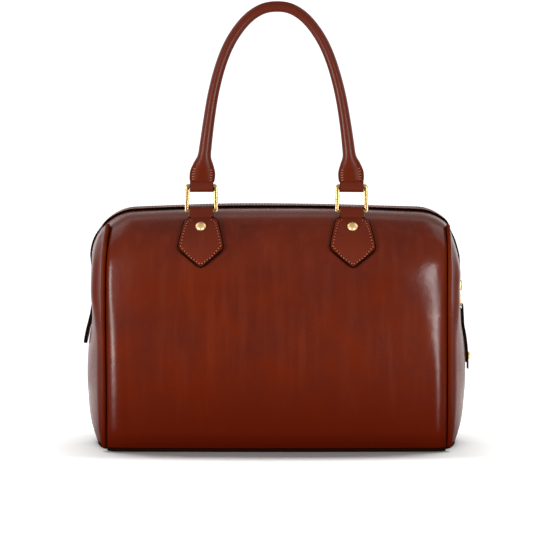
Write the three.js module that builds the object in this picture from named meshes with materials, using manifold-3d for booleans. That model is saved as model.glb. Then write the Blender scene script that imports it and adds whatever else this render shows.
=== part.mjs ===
// Leather bowling bag with two rolled handles, a zip over the top and brass fittings.
// Millimetres, Z up, the front towards -Y, the origin at the centre of the base on the floor.
import * as THREE from "three";
import { mergeVertices } from "three/addons/utils/BufferGeometryUtils.js";
import Module from "manifold-3d";

const wasm = await Module();
wasm.setup();

// Small steps for finding directions: in millimetres, and as a share of a surface's run.
const SMALL_DISTANCE = 0.05;
const SMALL_SHARE = 0.002;

// Leather and clearances.
const LEATHER = 2.2;            // wall of the panels and gussets
const GAP = 0.3;                // clearance between neighbouring pieces
const BASE_THICKNESS = 3;
const BAND_THICKNESS = 2;
const CHAPE_THICKNESS = 3;      // two layers sewn together

// Zip line: the outline of the bag in its middle plane, seen from the front.
const RIDGE_HEIGHT = 201;
const RIDGE_HALF_WIDTH = 156.5;
const CROWN_RADIUS = 2800;      // the top line is a very shallow arch
const CORNER_RADIUS = 38;
const ZIP_END_HEIGHT = 130;     // the zip stops here on both sides
const ZIP_HALF_SLOT = 4.5;
const BAND_INNER = 5;
const BAND_OUTER = 18;

// Front and back walls.
const SEAM_HALF_WIDTH = 141.5;  // the four upright seams
const SEAM_DEPTH = 71;
const PANEL_BULGE = 3;          // slow bulge over the whole width
const EDGE_ROLL_DEPTH = 6;      // quick roll beside each seam
const EDGE_ROLL_WIDTH = 14;
const SHOULDER_HEIGHT = 130;    // above it the wall rolls back to the zip
const SHOULDER_POWER = 3.4;     // squareness of that roll, 2 being an ellipse
const FOOT_HEIGHT = 16;         // below it the wall tucks in to the base
const FOOT_TUCK = 4;
const PIPING_RADIUS = 1.7;
const PIPING_TIP_DEPTH = 33;    // the piping ends this far in front of the zip

// Side walls in the middle plane: how far out they reach, and how much the leather beside the zip swells.
const SIDE_PROFILE = [
  { height: 0, reach: 152.5, swell: 0 },
  { height: 18, reach: 158.4, swell: 0 },
  { height: 42, reach: 161, swell: 0 },
  { height: 68, reach: 161.6, swell: 0 },
  { height: 92, reach: 159.6, swell: 1 },
  { height: 112, reach: 155, swell: 5 },
  { height: 130, reach: 152.8, swell: 8 },
  { height: 147, reach: 154.4, swell: 5 },
  { height: 163, reach: 156.5, swell: 1 },
  { height: 182, reach: 156.5, swell: 0 },
];

// Handle fittings.
const HANDLE_HALF_SPACING = 62.8;
const LOOP_ARC = 52;            // from the zip line to the ring, along the leather
const LOOP_HOLE_RADIUS = 2.35;
const LOOP_RADIUS = 4;
const LOOP_HALF_WIDTH = 9.3;
const CHAPE_OUTLINE = [
  { arc: 55, halfWidth: 9.3 },
  { arc: 61, halfWidth: 9.4 },
  { arc: 63, halfWidth: 14.4 },
  { arc: 77, halfWidth: 17.3 },
  { arc: 88.5, halfWidth: 19.8 },
  { arc: 91, halfWidth: 19.4 },
  { arc: 98.5, halfWidth: 10.3 },
  { arc: 105.5, halfWidth: 1.6 },
];
const STUD_ARC = 71.5;
const STUD_RADIUS = 4.4;
const STUD_HEIGHT = 3;

// Brass rings, slightly wider at the foot.
const RING_BAR = 3.4;
const RING_DEPTH = 3.2;
const RING_RISE = 20;           // between the middles of the lower and upper bars
const RING_FOOT_HALF_WIDTH = 14;
const RING_TOP_HALF_WIDTH = 13.4;
const RING_CORNER = 3;
const RING_INNER_CORNER = 0.8;
const RING_BEVEL = 0.5;
const BACK_RING_LEAN = 112;     // degrees from upright: the back rings lie over the shoulder
const BACK_SLIDE = 7;           // the hanging handle has drawn the back chapes this far down

// Rolled handles: the arch above the rings and its section along each leg.
const HANDLE_ARCH = [
  { rise: 0, halfSpan: 62.8 },
  { rise: 13, halfSpan: 62 },
  { rise: 30, halfSpan: 60.2 },
  { rise: 55, halfSpan: 56.8 },
  { rise: 80, halfSpan: 52.4 },
  { rise: 104, halfSpan: 45.8 },
  { rise: 123, halfSpan: 37.4 },
  { rise: 139, halfSpan: 25.6 },
  { rise: 148, halfSpan: 13 },
  { rise: 150.4, halfSpan: 0 },
];
const HANDLE_SECTION = [
  { along: 3, width: 18.4, thickness: 6.4 },
  { along: 7, width: 21.2, thickness: 7.4 },
  { along: 13, width: 21.2, thickness: 8.6 },
  { along: 20, width: 16.6, thickness: 9.4 },
  { along: 26, width: 13, thickness: 9.6 },
  { along: 36, width: 10.8, thickness: 9.8 },
  { along: 60, width: 9.4, thickness: 9.4 },
  { along: 100, width: 8.8, thickness: 8.8 },
];
const BACK_DROOP_ANGLE = 54;    // the back handle leaves its rings this steeply
const BACK_DROOP_START = 16;    // and turns to hang straight down over the next stretch
const BACK_DROOP_LENGTH = 26;

// Zip furniture on the sides.
const TAB_TOP_HEIGHT = 129;
const TAB_TIP_HEIGHT = 84;
const TAB_HALF_WIDTH = 10;
const TAB_THICKNESS = 2.8;
const CHAIN_RISE = 1.2;
const CHAIN_DEPTH = 1.5;
const SLIDER_HEIGHT = 134;
const SLIDER_LENGTH = 9;
const SLIDER_WIDTH = 8;
const SLIDER_RISE = 4.5;
const BAIL_BAR = 1.8;
const BAIL_WIDTH = 14;
const BAIL_FOOT_HEIGHT = 117;
const PULL_LAYER = 1.3;
const PULL_HALF_WIDTH = 4.4;
const PULL_INNER_TIP = 68;
const PULL_OUTER_TIP = 62.5;
const PULL_STUD_HEIGHT = 73.5;
const PULL_STUD_RADIUS = 3.3;
const PULL_STUD_RISE = 2.4;

// Materials with the photograph's colours.
const leather = { color: 0x6b2818, roughness: 0.38, metalness: 0 };
const darkLeather = { color: 0x43170d, roughness: 0.45, metalness: 0 };
const zipTape = { color: 0x3a1a10, roughness: 0.8, metalness: 0 };
const brass = { color: 0xd9b872, roughness: 0.25, metalness: 1 };

const bag = new THREE.Group();

function addPiece(name, geometry, look) {
  const mesh = new THREE.Mesh(geometry, new THREE.MeshStandardMaterial(look));
  mesh.name = name;
  bag.add(mesh);
  return mesh;
}

// Value of one column of a table at any place along its first column, joined by a smooth curve.
function smoothValue(rows, key, column, place) {
  const last = rows.length - 1;
  let i = 0;
  while (i < last - 1 && place > rows[i + 1][key]) {
    i += 1;
  }
  const slope = (k) => {
    const before = rows[Math.max(0, k - 1)];
    const after = rows[Math.min(last, k + 1)];
    return (after[column] - before[column]) / (after[key] - before[key]);
  };
  const span = rows[i + 1][key] - rows[i][key];
  const f = THREE.MathUtils.clamp((place - rows[i][key]) / span, 0, 1);
  const rise = f * f * (3 - 2 * f);
  const bend = slope(i) * f * (1 - f) * (1 - f) - slope(i + 1) * f * f * (1 - f);
  return rows[i][column] + (rows[i + 1][column] - rows[i][column]) * rise + span * bend;
}

// Value of a column joined by straight lines, for outlines with corners.
function straightValue(rows, key, column, place) {
  let i = 0;
  while (i < rows.length - 2 && place > rows[i + 1][key]) {
    i += 1;
  }
  const f = (place - rows[i][key]) / (rows[i + 1][key] - rows[i][key]);
  return THREE.MathUtils.lerp(rows[i][column], rows[i + 1][column], THREE.MathUtils.clamp(f, 0, 1));
}

// Turns the faces of a closed mesh outwards, which they are when its signed volume is positive.
function facingOut(positions, indices) {
  const corner = [0, 1, 2].map(() => new THREE.Vector3());
  let volume = 0;
  for (let i = 0; i < indices.length; i += 3) {
    corner.forEach((point, k) => point.fromArray(positions, indices[i + k] * 3));
    volume += corner[0].dot(corner[1].clone().cross(corner[2]));
  }
  const geometry = new THREE.BufferGeometry();
  geometry.setAttribute("position", new THREE.Float32BufferAttribute(positions, 3));
  geometry.setIndex(volume > 0 ? indices : indices.slice().reverse());
  return geometry;
}

// A wall on a surface: surface(p, q) gives a point and its outward direction for p and q from 0 to 1.
// The wall lies between two heights above that surface, and its border is closed.
function wallOn(surface, columns, rows, low, high) {
  const positions = [];
  const indices = [];
  const layer = (columns + 1) * (rows + 1);
  for (const height of [high, low]) {
    for (let j = 0; j <= rows; j += 1) {
      for (let i = 0; i <= columns; i += 1) {
        const { point, out } = surface(i / columns, j / rows);
        positions.push(...point.clone().addScaledVector(out, height).toArray());
      }
    }
  }
  const at = (i, j, side) => side * layer + j * (columns + 1) + i;
  const quad = (a, b, c, d) => indices.push(a, b, c, a, c, d);
  for (let j = 0; j < rows; j += 1) {
    for (let i = 0; i < columns; i += 1) {
      quad(at(i, j, 0), at(i + 1, j, 0), at(i + 1, j + 1, 0), at(i, j + 1, 0));
      quad(at(i, j, 1), at(i, j + 1, 1), at(i + 1, j + 1, 1), at(i + 1, j, 1));
    }
  }
  for (let i = 0; i < columns; i += 1) {
    quad(at(i, 0, 1), at(i + 1, 0, 1), at(i + 1, 0, 0), at(i, 0, 0));
    quad(at(i, rows, 0), at(i + 1, rows, 0), at(i + 1, rows, 1), at(i, rows, 1));
  }
  for (let j = 0; j < rows; j += 1) {
    quad(at(0, j, 0), at(0, j + 1, 0), at(0, j + 1, 1), at(0, j, 1));
    quad(at(columns, j, 1), at(columns, j + 1, 1), at(columns, j + 1, 0), at(columns, j, 0));
  }
  return facingOut(positions, indices);
}

// A rod through rings of points, capped at both ends.
function rodThrough(rings) {
  const sides = rings[0].length;
  const positions = rings.flat().flatMap((point) => point.toArray());
  const indices = [];
  for (let j = 0; j < rings.length - 1; j += 1) {
    for (let i = 0; i < sides; i += 1) {
      const k = (i + 1) % sides;
      const [a, b] = [j * sides + i, j * sides + k];
      indices.push(a, b, b + sides, a, b + sides, a + sides);
    }
  }
  const lastRing = (rings.length - 1) * sides;
  for (let i = 1; i < sides - 1; i += 1) {
    indices.push(0, i + 1, i);
    indices.push(lastRing, lastRing + i, lastRing + i + 1);
  }
  return facingOut(positions, indices);
}

function toSolid(geometry) {
  const bare = geometry.clone();
  bare.deleteAttribute("normal");
  bare.deleteAttribute("uv");
  const merged = mergeVertices(bare, 1e-4);
  return new wasm.Manifold(new wasm.Mesh({
    numProp: 3,
    vertProperties: new Float32Array(merged.attributes.position.array),
    triVerts: new Uint32Array(merged.index.array),
  }));
}

function toGeometry(solid) {
  const mesh = solid.getMesh();
  const geometry = new THREE.BufferGeometry();
  geometry.setAttribute("position", new THREE.BufferAttribute(mesh.vertProperties, 3));
  geometry.setIndex(new THREE.BufferAttribute(mesh.triVerts, 1));
  return geometry;
}

// The zip line, by distance from the middle of the top: a shallow crown, a round corner and the side.
const cornerCentreX = RIDGE_HALF_WIDTH - CORNER_RADIUS;
const crownSpread = Math.asin(cornerCentreX / (CROWN_RADIUS - CORNER_RADIUS));
const crownLength = CROWN_RADIUS * crownSpread;
const cornerLength = CORNER_RADIUS * (Math.PI / 2 - crownSpread);
const cornerCentreZ = RIDGE_HEIGHT - CROWN_RADIUS + (CROWN_RADIUS - CORNER_RADIUS) * Math.cos(crownSpread);

function sideReach(height) {
  return smoothValue(SIDE_PROFILE, "height", "reach", height);
}

function ridgePoint(distance) {
  const side = distance < 0 ? -1 : 1;
  const run = Math.abs(distance);
  if (run < crownLength) {
    const lean = run / CROWN_RADIUS;
    const drop = CROWN_RADIUS * (1 - Math.cos(lean));
    return new THREE.Vector3(side * CROWN_RADIUS * Math.sin(lean), 0, RIDGE_HEIGHT - drop);
  }
  if (run < crownLength + cornerLength) {
    const lean = crownSpread + (run - crownLength) / CORNER_RADIUS;
    const x = cornerCentreX + CORNER_RADIUS * Math.sin(lean);
    return new THREE.Vector3(side * x, 0, cornerCentreZ + CORNER_RADIUS * Math.cos(lean));
  }
  const height = cornerCentreZ - (run - crownLength - cornerLength);
  return new THREE.Vector3(side * sideReach(height), 0, height);
}

function ridgeOut(distance) {
  const along = ridgePoint(distance + SMALL_DISTANCE).sub(ridgePoint(distance - SMALL_DISTANCE));
  return new THREE.Vector3(-along.z, 0, along.x).normalize();
}

function ridgeDistanceAtHeight(height) {
  return crownLength + cornerLength + cornerCentreZ - height;
}

// Height of the zip line above a place across the top, up to the seams.
function ridgeHeightAt(x) {
  const across = Math.abs(x);
  if (across < CROWN_RADIUS * Math.sin(crownSpread)) {
    return RIDGE_HEIGHT - CROWN_RADIUS + Math.sqrt(CROWN_RADIUS ** 2 - across ** 2);
  }
  return cornerCentreZ + Math.sqrt(CORNER_RADIUS ** 2 - (across - cornerCentreX) ** 2);
}

// How far the wall stands in front of the middle plane, at its fullest.
function wallDepth(x) {
  const u = x / SEAM_HALF_WIDTH;
  const roll = Math.max(0, (Math.abs(x) - SEAM_HALF_WIDTH + EDGE_ROLL_WIDTH) / EDGE_ROLL_WIDTH);
  const edge = Math.sqrt(Math.max(0, 1 - roll * roll));
  return SEAM_DEPTH + PANEL_BULGE * (1 - u * u) + EDGE_ROLL_DEPTH * edge;
}

// Outer face of the front wall: t runs from the base (0) to the zip (1).
const SHOULDER_START = 0.36;

function wallPoint(x, t) {
  const depth = wallDepth(x);
  if (t < SHOULDER_START) {
    const hem = BASE_THICKNESS + GAP;
    const height = THREE.MathUtils.lerp(hem, SHOULDER_HEIGHT, t / SHOULDER_START);
    const tuck = Math.max(0, 1 - (height - hem) / FOOT_HEIGHT);
    return new THREE.Vector3(x, FOOT_TUCK * tuck * tuck - depth, height);
  }
  const rise = ridgeHeightAt(x) - SHOULDER_HEIGHT;
  const turn = (t - SHOULDER_START) / (1 - SHOULDER_START) * Math.atan2(rise, ZIP_HALF_SLOT);
  const [c, s] = [Math.cos(turn) / depth, Math.sin(turn) / rise];
  const reach = (c ** SHOULDER_POWER + s ** SHOULDER_POWER) ** (-1 / SHOULDER_POWER);
  return new THREE.Vector3(x, -reach * Math.cos(turn), SHOULDER_HEIGHT + reach * Math.sin(turn));
}

function wallUpwards(x, t) {
  return wallPoint(x, t + SMALL_SHARE).sub(wallPoint(x, t - SMALL_SHARE)).normalize();
}

// Outward direction of the front wall at any x and t.
function wallOut(x, t) {
  const along = wallPoint(x + SMALL_DISTANCE, t).sub(wallPoint(x - SMALL_DISTANCE, t));
  return along.cross(wallUpwards(x, t)).normalize();
}

// The place t on the front wall at a distance from the zip line, measured along the leather.
function wallPlace(x, arc) {
  const steps = 400;
  let length = ZIP_HALF_SLOT;
  let here = wallPoint(x, 1);
  for (let i = steps - 1; i >= 0; i -= 1) {
    const next = wallPoint(x, i / steps);
    length += next.distanceTo(here);
    if (length >= arc) {
      return i / steps;
    }
    here = next;
  }
  return 0;
}

// A copy for the back of the bag: the front turned half round the upright axis.
function turnedToBack(geometry) {
  return geometry.clone().rotateZ(Math.PI);
}

// Front and back walls, with closer columns in the rolls beside the seams.
const EDGE_COLUMNS = 3;
const FLAT_COLUMNS = 14;
const PANEL_COLUMNS = FLAT_COLUMNS + 2 * EDGE_COLUMNS;
const PANEL_LOW_ROWS = 5;
const PANEL_HIGH_ROWS = 12;
const PANEL_ROWS = PANEL_LOW_ROWS + PANEL_HIGH_ROWS;
const LOW_ROW_POWER = 1.5;      // draws the low rows towards the base, where the wall tucks in
const ROLL_END = 0.985;         // of a quarter turn's sine, so that the edge stays clear of the seam

function panelColumnX(p) {
  const column = p * PANEL_COLUMNS - PANEL_COLUMNS / 2;
  const flatHalf = FLAT_COLUMNS / 2;
  const flatWidth = SEAM_HALF_WIDTH - EDGE_ROLL_WIDTH;
  if (Math.abs(column) <= flatHalf) {
    return column / flatHalf * flatWidth;
  }
  const turn = (Math.abs(column) - flatHalf) / EDGE_COLUMNS * Math.asin(ROLL_END);
  return Math.sign(column) * (flatWidth + EDGE_ROLL_WIDTH * Math.sin(turn));
}

function panelRowPlace(q) {
  const row = q * PANEL_ROWS;
  if (row <= PANEL_LOW_ROWS) {
    return SHOULDER_START * (row / PANEL_LOW_ROWS) ** LOW_ROW_POWER;
  }
  return SHOULDER_START + (1 - SHOULDER_START) * (row - PANEL_LOW_ROWS) / PANEL_HIGH_ROWS;
}

function wallSurface(p, q) {
  const x = panelColumnX(p);
  const t = panelRowPlace(q);
  return { point: wallPoint(x, t), out: wallOut(x, t) };
}

const frontWall = wallOn(wallSurface, PANEL_COLUMNS, PANEL_ROWS, -LEATHER, 0);
addPiece("front_panel", frontWall, leather);
addPiece("back_panel", turnedToBack(frontWall), leather);

// Side gussets: each section runs from the front seam over the middle plane to the back seam.
const GUSSET_TOP = 0.9;         // of the way up the shoulder, where the zip bands cover the end
const GUSSET_EDGE = 0.985;      // of the way out to the seam, leaving room for the piping
const GUSSET_COLUMNS = 12;
const GUSSET_LOW_ROWS = 7;
const GUSSET_HIGH_ROWS = 8;
const GUSSET_ROWS = GUSSET_LOW_ROWS + GUSSET_HIGH_ROWS;
const ridgeAtShoulder = ridgeDistanceAtHeight(SHOULDER_HEIGHT);
const seamLean = Math.asin((SEAM_HALF_WIDTH - cornerCentreX) / CORNER_RADIUS);
const ridgeAtSeam = crownLength + CORNER_RADIUS * (seamLean - crownSpread);

// Seam and middle of the side at a place q from the base (0) to the gusset's top end (1).
function gussetSection(q) {
  const lowShare = GUSSET_LOW_ROWS / GUSSET_ROWS;
  if (q < lowShare) {
    const seam = wallPoint(SEAM_HALF_WIDTH, SHOULDER_START * q / lowShare);
    const middle = new THREE.Vector3(sideReach(seam.z), 0, seam.z);
    return { seam, middle };
  }
  const f = GUSSET_TOP * (q - lowShare) / (1 - lowShare);
  const seam = wallPoint(SEAM_HALF_WIDTH, SHOULDER_START + (1 - SHOULDER_START) * f);
  const middle = ridgePoint(THREE.MathUtils.lerp(ridgeAtShoulder, ridgeAtSeam, f));
  return { seam, middle };
}

// Right side wall: p runs from the front seam (0) to the back seam (1).
function gussetPoint(p, q) {
  const { seam, middle } = gussetSection(q);
  const a = 2 * p - 1;
  const swell = smoothValue(SIDE_PROFILE, "height", "swell", middle.z) * 4 * a * a * (1 - a * a);
  const x = THREE.MathUtils.lerp(middle.x, seam.x, a * a) + swell;
  return new THREE.Vector3(x, -seam.y * a, THREE.MathUtils.lerp(middle.z, seam.z, a * a));
}

function gussetPlace(p, q) {
  const along = gussetPoint(p + SMALL_SHARE, q).sub(gussetPoint(p - SMALL_SHARE, q));
  const across = gussetPoint(p, q + SMALL_SHARE).sub(gussetPoint(p, q - SMALL_SHARE));
  return { point: gussetPoint(p, q), out: along.cross(across).normalize() };
}

function gussetSurface(p, q) {
  return gussetPlace(0.5 + (p - 0.5) * GUSSET_EDGE, q);
}

const SLOT_CLEARANCE = 1;       // the slot runs this far past the end of the zip

function slotCutter() {
  const bottom = ZIP_END_HEIGHT - SLOT_CLEARANCE;
  const height = RIDGE_HEIGHT - bottom;
  const box = new THREE.BoxGeometry(RIDGE_HALF_WIDTH, 2 * ZIP_HALF_SLOT, height);
  return toSolid(box.translate(RIDGE_HALF_WIDTH, 0, bottom + height / 2));
}

const fullGusset = wallOn(gussetSurface, GUSSET_COLUMNS, GUSSET_ROWS, -LEATHER, 0);
const rightGusset = toGeometry(toSolid(fullGusset).subtract(slotCutter()));
addPiece("side_gusset_right", rightGusset, leather);
addPiece("side_gusset_left", turnedToBack(rightGusset), leather);

// Base: the outline of the walls where they stand on it, a little inside their outer faces.
const BASE_INSET = 0.5;
const BASE_SIDE_POINTS = 6;

function basePanel() {
  const outline = [];
  for (let i = 0; i <= PANEL_COLUMNS; i += 1) {
    outline.push(wallPoint(panelColumnX(i / PANEL_COLUMNS), 0));
  }
  for (let i = 1; i < BASE_SIDE_POINTS; i += 1) {
    outline.push(gussetPoint(i / BASE_SIDE_POINTS, 0));
  }
  const half = outline.map((point) => {
    const length = Math.hypot(point.x, point.y);
    return new THREE.Vector2(point.x, point.y).multiplyScalar(1 - BASE_INSET / length);
  });
  const other = half.map((point) => point.clone().negate());
  return new THREE.ExtrudeGeometry(new THREE.Shape([...half, ...other]), {
    depth: BASE_THICKNESS,
    bevelEnabled: false,
  });
}

addPiece("base_panel", basePanel(), leather);

// Piping: a covered cord on the outside of a seam, round at its upper tip.
const PIPING_SIDES = 6;
const PIPING_LOW_STEPS = 4;
const PIPING_HIGH_STEPS = 10;
const PIPING_FOOT = 0.004;      // the cord starts this share up the wall
const PIPING_TIP_SHARE = 0.45;  // of the radius, at the round tip
const BESIDE_SEAM = 0.02;       // share of the gusset's section at which its direction is taken

// The cord lies between the outward directions of the two walls that meet at the seam.
function pipingCentre(t) {
  const lowShare = GUSSET_LOW_ROWS / GUSSET_ROWS;
  const f = (t - SHOULDER_START) / (1 - SHOULDER_START);
  const q = f < 0 ? lowShare * t / SHOULDER_START : lowShare + (1 - lowShare) * f / GUSSET_TOP;
  const frontOut = wallOut(SEAM_HALF_WIDTH - EDGE_ROLL_WIDTH * (1 - ROLL_END), t);
  const out = gussetPlace(BESIDE_SEAM, q).out.add(frontOut).normalize();
  const point = wallPoint(SEAM_HALF_WIDTH, t).addScaledVector(out, PIPING_RADIUS + 3 * GAP);
  return { point, out, upright: wallUpwards(SEAM_HALF_WIDTH, t) };
}

function piping() {
  let top = 1;
  while (wallPoint(SEAM_HALF_WIDTH, top).y > -PIPING_TIP_DEPTH) {
    top -= SMALL_SHARE;
  }
  const places = [];
  for (let j = 0; j < PIPING_LOW_STEPS; j += 1) {
    places.push(THREE.MathUtils.lerp(PIPING_FOOT, SHOULDER_START, j / PIPING_LOW_STEPS));
  }
  for (let j = 0; j <= PIPING_HIGH_STEPS; j += 1) {
    places.push(THREE.MathUtils.lerp(SHOULDER_START, top, j / PIPING_HIGH_STEPS));
  }
  const rings = places.map((t) => {
    const { point, out, upright } = pipingCentre(t);
    const side = upright.clone().cross(out);
    const radius = PIPING_RADIUS * (t === top ? PIPING_TIP_SHARE : 1);
    const ring = [];
    for (let i = 0; i < PIPING_SIDES; i += 1) {
      const turn = i / PIPING_SIDES * 2 * Math.PI;
      ring.push(point.clone()
        .addScaledVector(out, radius * Math.cos(turn))
        .addScaledVector(side, radius * Math.sin(turn)));
    }
    return ring;
  });
  return rodThrough(rings);
}

function mirrored(geometry) {
  const copy = mergeVertices(geometry.clone());
  const positions = Array.from(copy.attributes.position.array);
  for (let i = 0; i < positions.length; i += 3) {
    positions[i] = -positions[i];
  }
  return facingOut(positions, Array.from(copy.index.array));
}

const frontRightPiping = piping();
const frontLeftPiping = mirrored(frontRightPiping);
addPiece("piping_front_right", frontRightPiping, leather);
addPiece("piping_front_left", frontLeftPiping, leather);
addPiece("piping_back_left", turnedToBack(frontRightPiping), leather);
addPiece("piping_back_right", turnedToBack(frontLeftPiping), leather);

// Strips along the zip line from one end of the zip to the other: bands and chain.
const STRIP_STEPS = 36;
const CROWN_STEP_SHARE = 0.42;  // of the steps, on the long crown; the rest are in the corners and sides
const BEND_LEAD = 8;            // the closer steps begin this far before the corner
const SIDE_BAND_DROP = 0.8;     // the bands lie this much lower at their outer edges on the sides
const SIDE_START = 2;           // they are on the side this far short of its full reach
const zipHalfLength = ridgeDistanceAtHeight(ZIP_END_HEIGHT);

// How far the leather beside the zip line lies below it, at the outer edge of a band.
function bandDrop(distance) {
  const { x, z } = ridgePoint(distance);
  const sideways = THREE.MathUtils.smoothstep(Math.abs(x), SEAM_HALF_WIDTH, RIDGE_HALF_WIDTH - SIDE_START);
  const swell = smoothValue(SIDE_PROFILE, "height", "swell", z);
  const edge = BAND_OUTER / SEAM_DEPTH;
  return sideways * (SIDE_BAND_DROP - swell * 4 * edge * edge);
}

// Distance from the middle of the top for q from 0 to 1, with closer steps in the round corners.
function stripDistance(q) {
  const half = 2 * q - 1;
  const f = Math.abs(half);
  const bendStart = crownLength - BEND_LEAD;
  if (f < CROWN_STEP_SHARE) {
    return Math.sign(half) * bendStart * f / CROWN_STEP_SHARE;
  }
  const rest = (f - CROWN_STEP_SHARE) / (1 - CROWN_STEP_SHARE);
  return Math.sign(half) * THREE.MathUtils.lerp(bendStart, zipHalfLength, rest);
}

function stripSurface(from, to) {
  return (p, q) => {
    const y = THREE.MathUtils.lerp(from, to, p);
    const distance = stripDistance(q);
    const out = ridgeOut(distance);
    const drop = bandDrop(distance) * (y / BAND_OUTER) ** 2;
    const point = ridgePoint(distance).addScaledVector(out, -drop);
    point.y = y;
    return { point, out };
  };
}

const frontBand = wallOn(stripSurface(-BAND_OUTER, -BAND_INNER), 2, STRIP_STEPS, GAP, GAP + BAND_THICKNESS);
addPiece("zip_band_front", frontBand, leather);
addPiece("zip_band_back", turnedToBack(frontBand), leather);
const chainHalfWidth = ZIP_HALF_SLOT - GAP;
const chain = wallOn(stripSurface(-chainHalfWidth, chainHalfWidth), 1, STRIP_STEPS, -CHAIN_DEPTH, CHAIN_RISE);
addPiece("zip_chain", chain, zipTape);

// Tab over the left end of the zip, lying on the gusset with its tip standing off a little.
function gussetRowAtHeight(height) {
  let q = 0;
  while (gussetPoint(0.5, q).z < height) {
    q += SMALL_SHARE / 2;
  }
  return q;
}

const TAB_ROUND_START = 0.75;   // of its length, where the tab begins to narrow to its round tip
const TAB_TIP_SHARE = 0.2;      // of its width, left at the very tip
const TAB_TIP_LIFT = 1.2;       // how far the tip stands off

function endTab() {
  const top = gussetRowAtHeight(TAB_TOP_HEIGHT);
  const tip = gussetRowAtHeight(TAB_TIP_HEIGHT);
  const surface = (p, q) => {
    const bend = Math.max(0, (q - TAB_ROUND_START) / (1 - TAB_ROUND_START));
    const roundTip = Math.max(TAB_TIP_SHARE, Math.sqrt(1 - bend * bend));
    const y = (2 * p - 1) * TAB_HALF_WIDTH * roundTip;
    const row = THREE.MathUtils.lerp(top, tip, q);
    const { seam } = gussetSection(row);
    const place = gussetPlace(0.5 - y / seam.y / 2, row);
    place.point.addScaledVector(place.out, TAB_TIP_LIFT * q * q);
    return place;
  };
  return wallOn(surface, 4, 8, 2 * GAP, 2 * GAP + TAB_THICKNESS);
}

addPiece("zip_end_tab_left", turnedToBack(endTab()), darkLeather);

// Slider on the chain at the right end of the zip, with its bail hanging over the end.
function roundedBar(width, length, corner) {
  const shape = new THREE.Shape();
  const [w, h] = [width / 2 - corner, length / 2 - corner];
  shape.absarc(w, h, corner, 0, Math.PI / 2);
  shape.absarc(-w, h, corner, Math.PI / 2, Math.PI);
  shape.absarc(-w, -h, corner, Math.PI, 1.5 * Math.PI);
  shape.absarc(w, -h, corner, 1.5 * Math.PI, 2 * Math.PI);
  return shape;
}

const SLIDER_CORNER = 2;
const BAIL_CORNER = 3;
const sliderFoot = sideReach(SLIDER_HEIGHT) + CHAIN_RISE + 2 * GAP;
const bailX = sliderFoot + SLIDER_RISE - BAIL_BAR / 2;

function zipSlider() {
  const body = new THREE.ExtrudeGeometry(roundedBar(SLIDER_WIDTH, SLIDER_LENGTH, SLIDER_CORNER), {
    depth: SLIDER_RISE,
    bevelEnabled: false,
    curveSegments: 2,
  });
  const standing = new THREE.Matrix4().makeBasis(
    new THREE.Vector3(0, 1, 0),
    new THREE.Vector3(0, 0, 1),
    new THREE.Vector3(1, 0, 0),
  );
  body.applyMatrix4(standing).translate(sliderFoot, 0, SLIDER_HEIGHT);
  const bailLength = SLIDER_HEIGHT - BAIL_FOOT_HEIGHT + BAIL_BAR;
  const frame = roundedBar(BAIL_WIDTH, bailLength, BAIL_CORNER);
  const innerCorner = BAIL_CORNER - BAIL_BAR;
  frame.holes.push(roundedBar(BAIL_WIDTH - 2 * BAIL_BAR, bailLength - 2 * BAIL_BAR, innerCorner));
  const bail = new THREE.ExtrudeGeometry(frame, { depth: BAIL_BAR, bevelEnabled: false, curveSegments: 2 });
  const bailMiddle = SLIDER_HEIGHT + (BAIL_BAR - bailLength) / 2;
  bail.applyMatrix4(standing).translate(bailX - BAIL_BAR / 2, 0, bailMiddle);
  return toGeometry(toSolid(body).add(toSolid(bail)));
}

addPiece("zip_slider", zipSlider(), brass);

// Folded pull: one strip of leather round the bail's lower bar, both layers hanging down over the gusset.
const PULL_STEPS = 4;
const PULL_FOLD_LENGTH = 13;    // the stretch that turns out to the bail
const PULL_CLEARANCE = 0.5;     // between the pull and the gusset
const layerStep = PULL_LAYER + GAP;
const pullHeights = [];
for (let i = 0; i <= PULL_STEPS; i += 1) {
  const foldStart = BAIL_FOOT_HEIGHT - PULL_FOLD_LENGTH;
  pullHeights.push(THREE.MathUtils.lerp(PULL_INNER_TIP, foldStart, i / PULL_STEPS));
}

// Face of the pull towards the gusset.
function pullFace(height) {
  return sideReach(height) + PULL_CLEARANCE;
}

function pullOutline() {
  const hole = BAIL_BAR / 2 * Math.SQRT2 + GAP;
  const barZ = BAIL_FOOT_HEIGHT;
  const downwards = pullHeights.slice().reverse();
  const outline = new THREE.Shape();
  outline.moveTo(pullFace(PULL_INNER_TIP), PULL_INNER_TIP);
  pullHeights.slice(1).forEach((z) => outline.lineTo(pullFace(z), z));
  outline.absarc(bailX, barZ, hole + PULL_LAYER, Math.PI, 0, true);
  downwards.forEach((z) => outline.lineTo(pullFace(z) + layerStep + PULL_LAYER, z));
  outline.lineTo(pullFace(PULL_INNER_TIP) + layerStep + PULL_LAYER, PULL_OUTER_TIP);
  outline.lineTo(pullFace(PULL_INNER_TIP) + layerStep, PULL_OUTER_TIP);
  pullHeights.forEach((z) => outline.lineTo(pullFace(z) + layerStep, z));
  outline.absarc(bailX, barZ, hole, 0, Math.PI, false);
  downwards.forEach((z) => outline.lineTo(pullFace(z) + PULL_LAYER, z));
  return outline;
}

function zipPull() {
  const strip = new THREE.ExtrudeGeometry(pullOutline(), {
    depth: 2 * PULL_HALF_WIDTH,
    bevelEnabled: false,
    curveSegments: 6,
  });
  return strip.rotateX(Math.PI / 2).translate(0, PULL_HALF_WIDTH, 0);
}

addPiece("zip_pull", zipPull(), darkLeather);

// A domed stud standing on the plane z = 0.
const STUD_RIM_SHARE = 0.3;     // of its height, the upright rim below the dome
const STUD_STEPS = 4;
const STUD_SIDES = 12;

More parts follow.
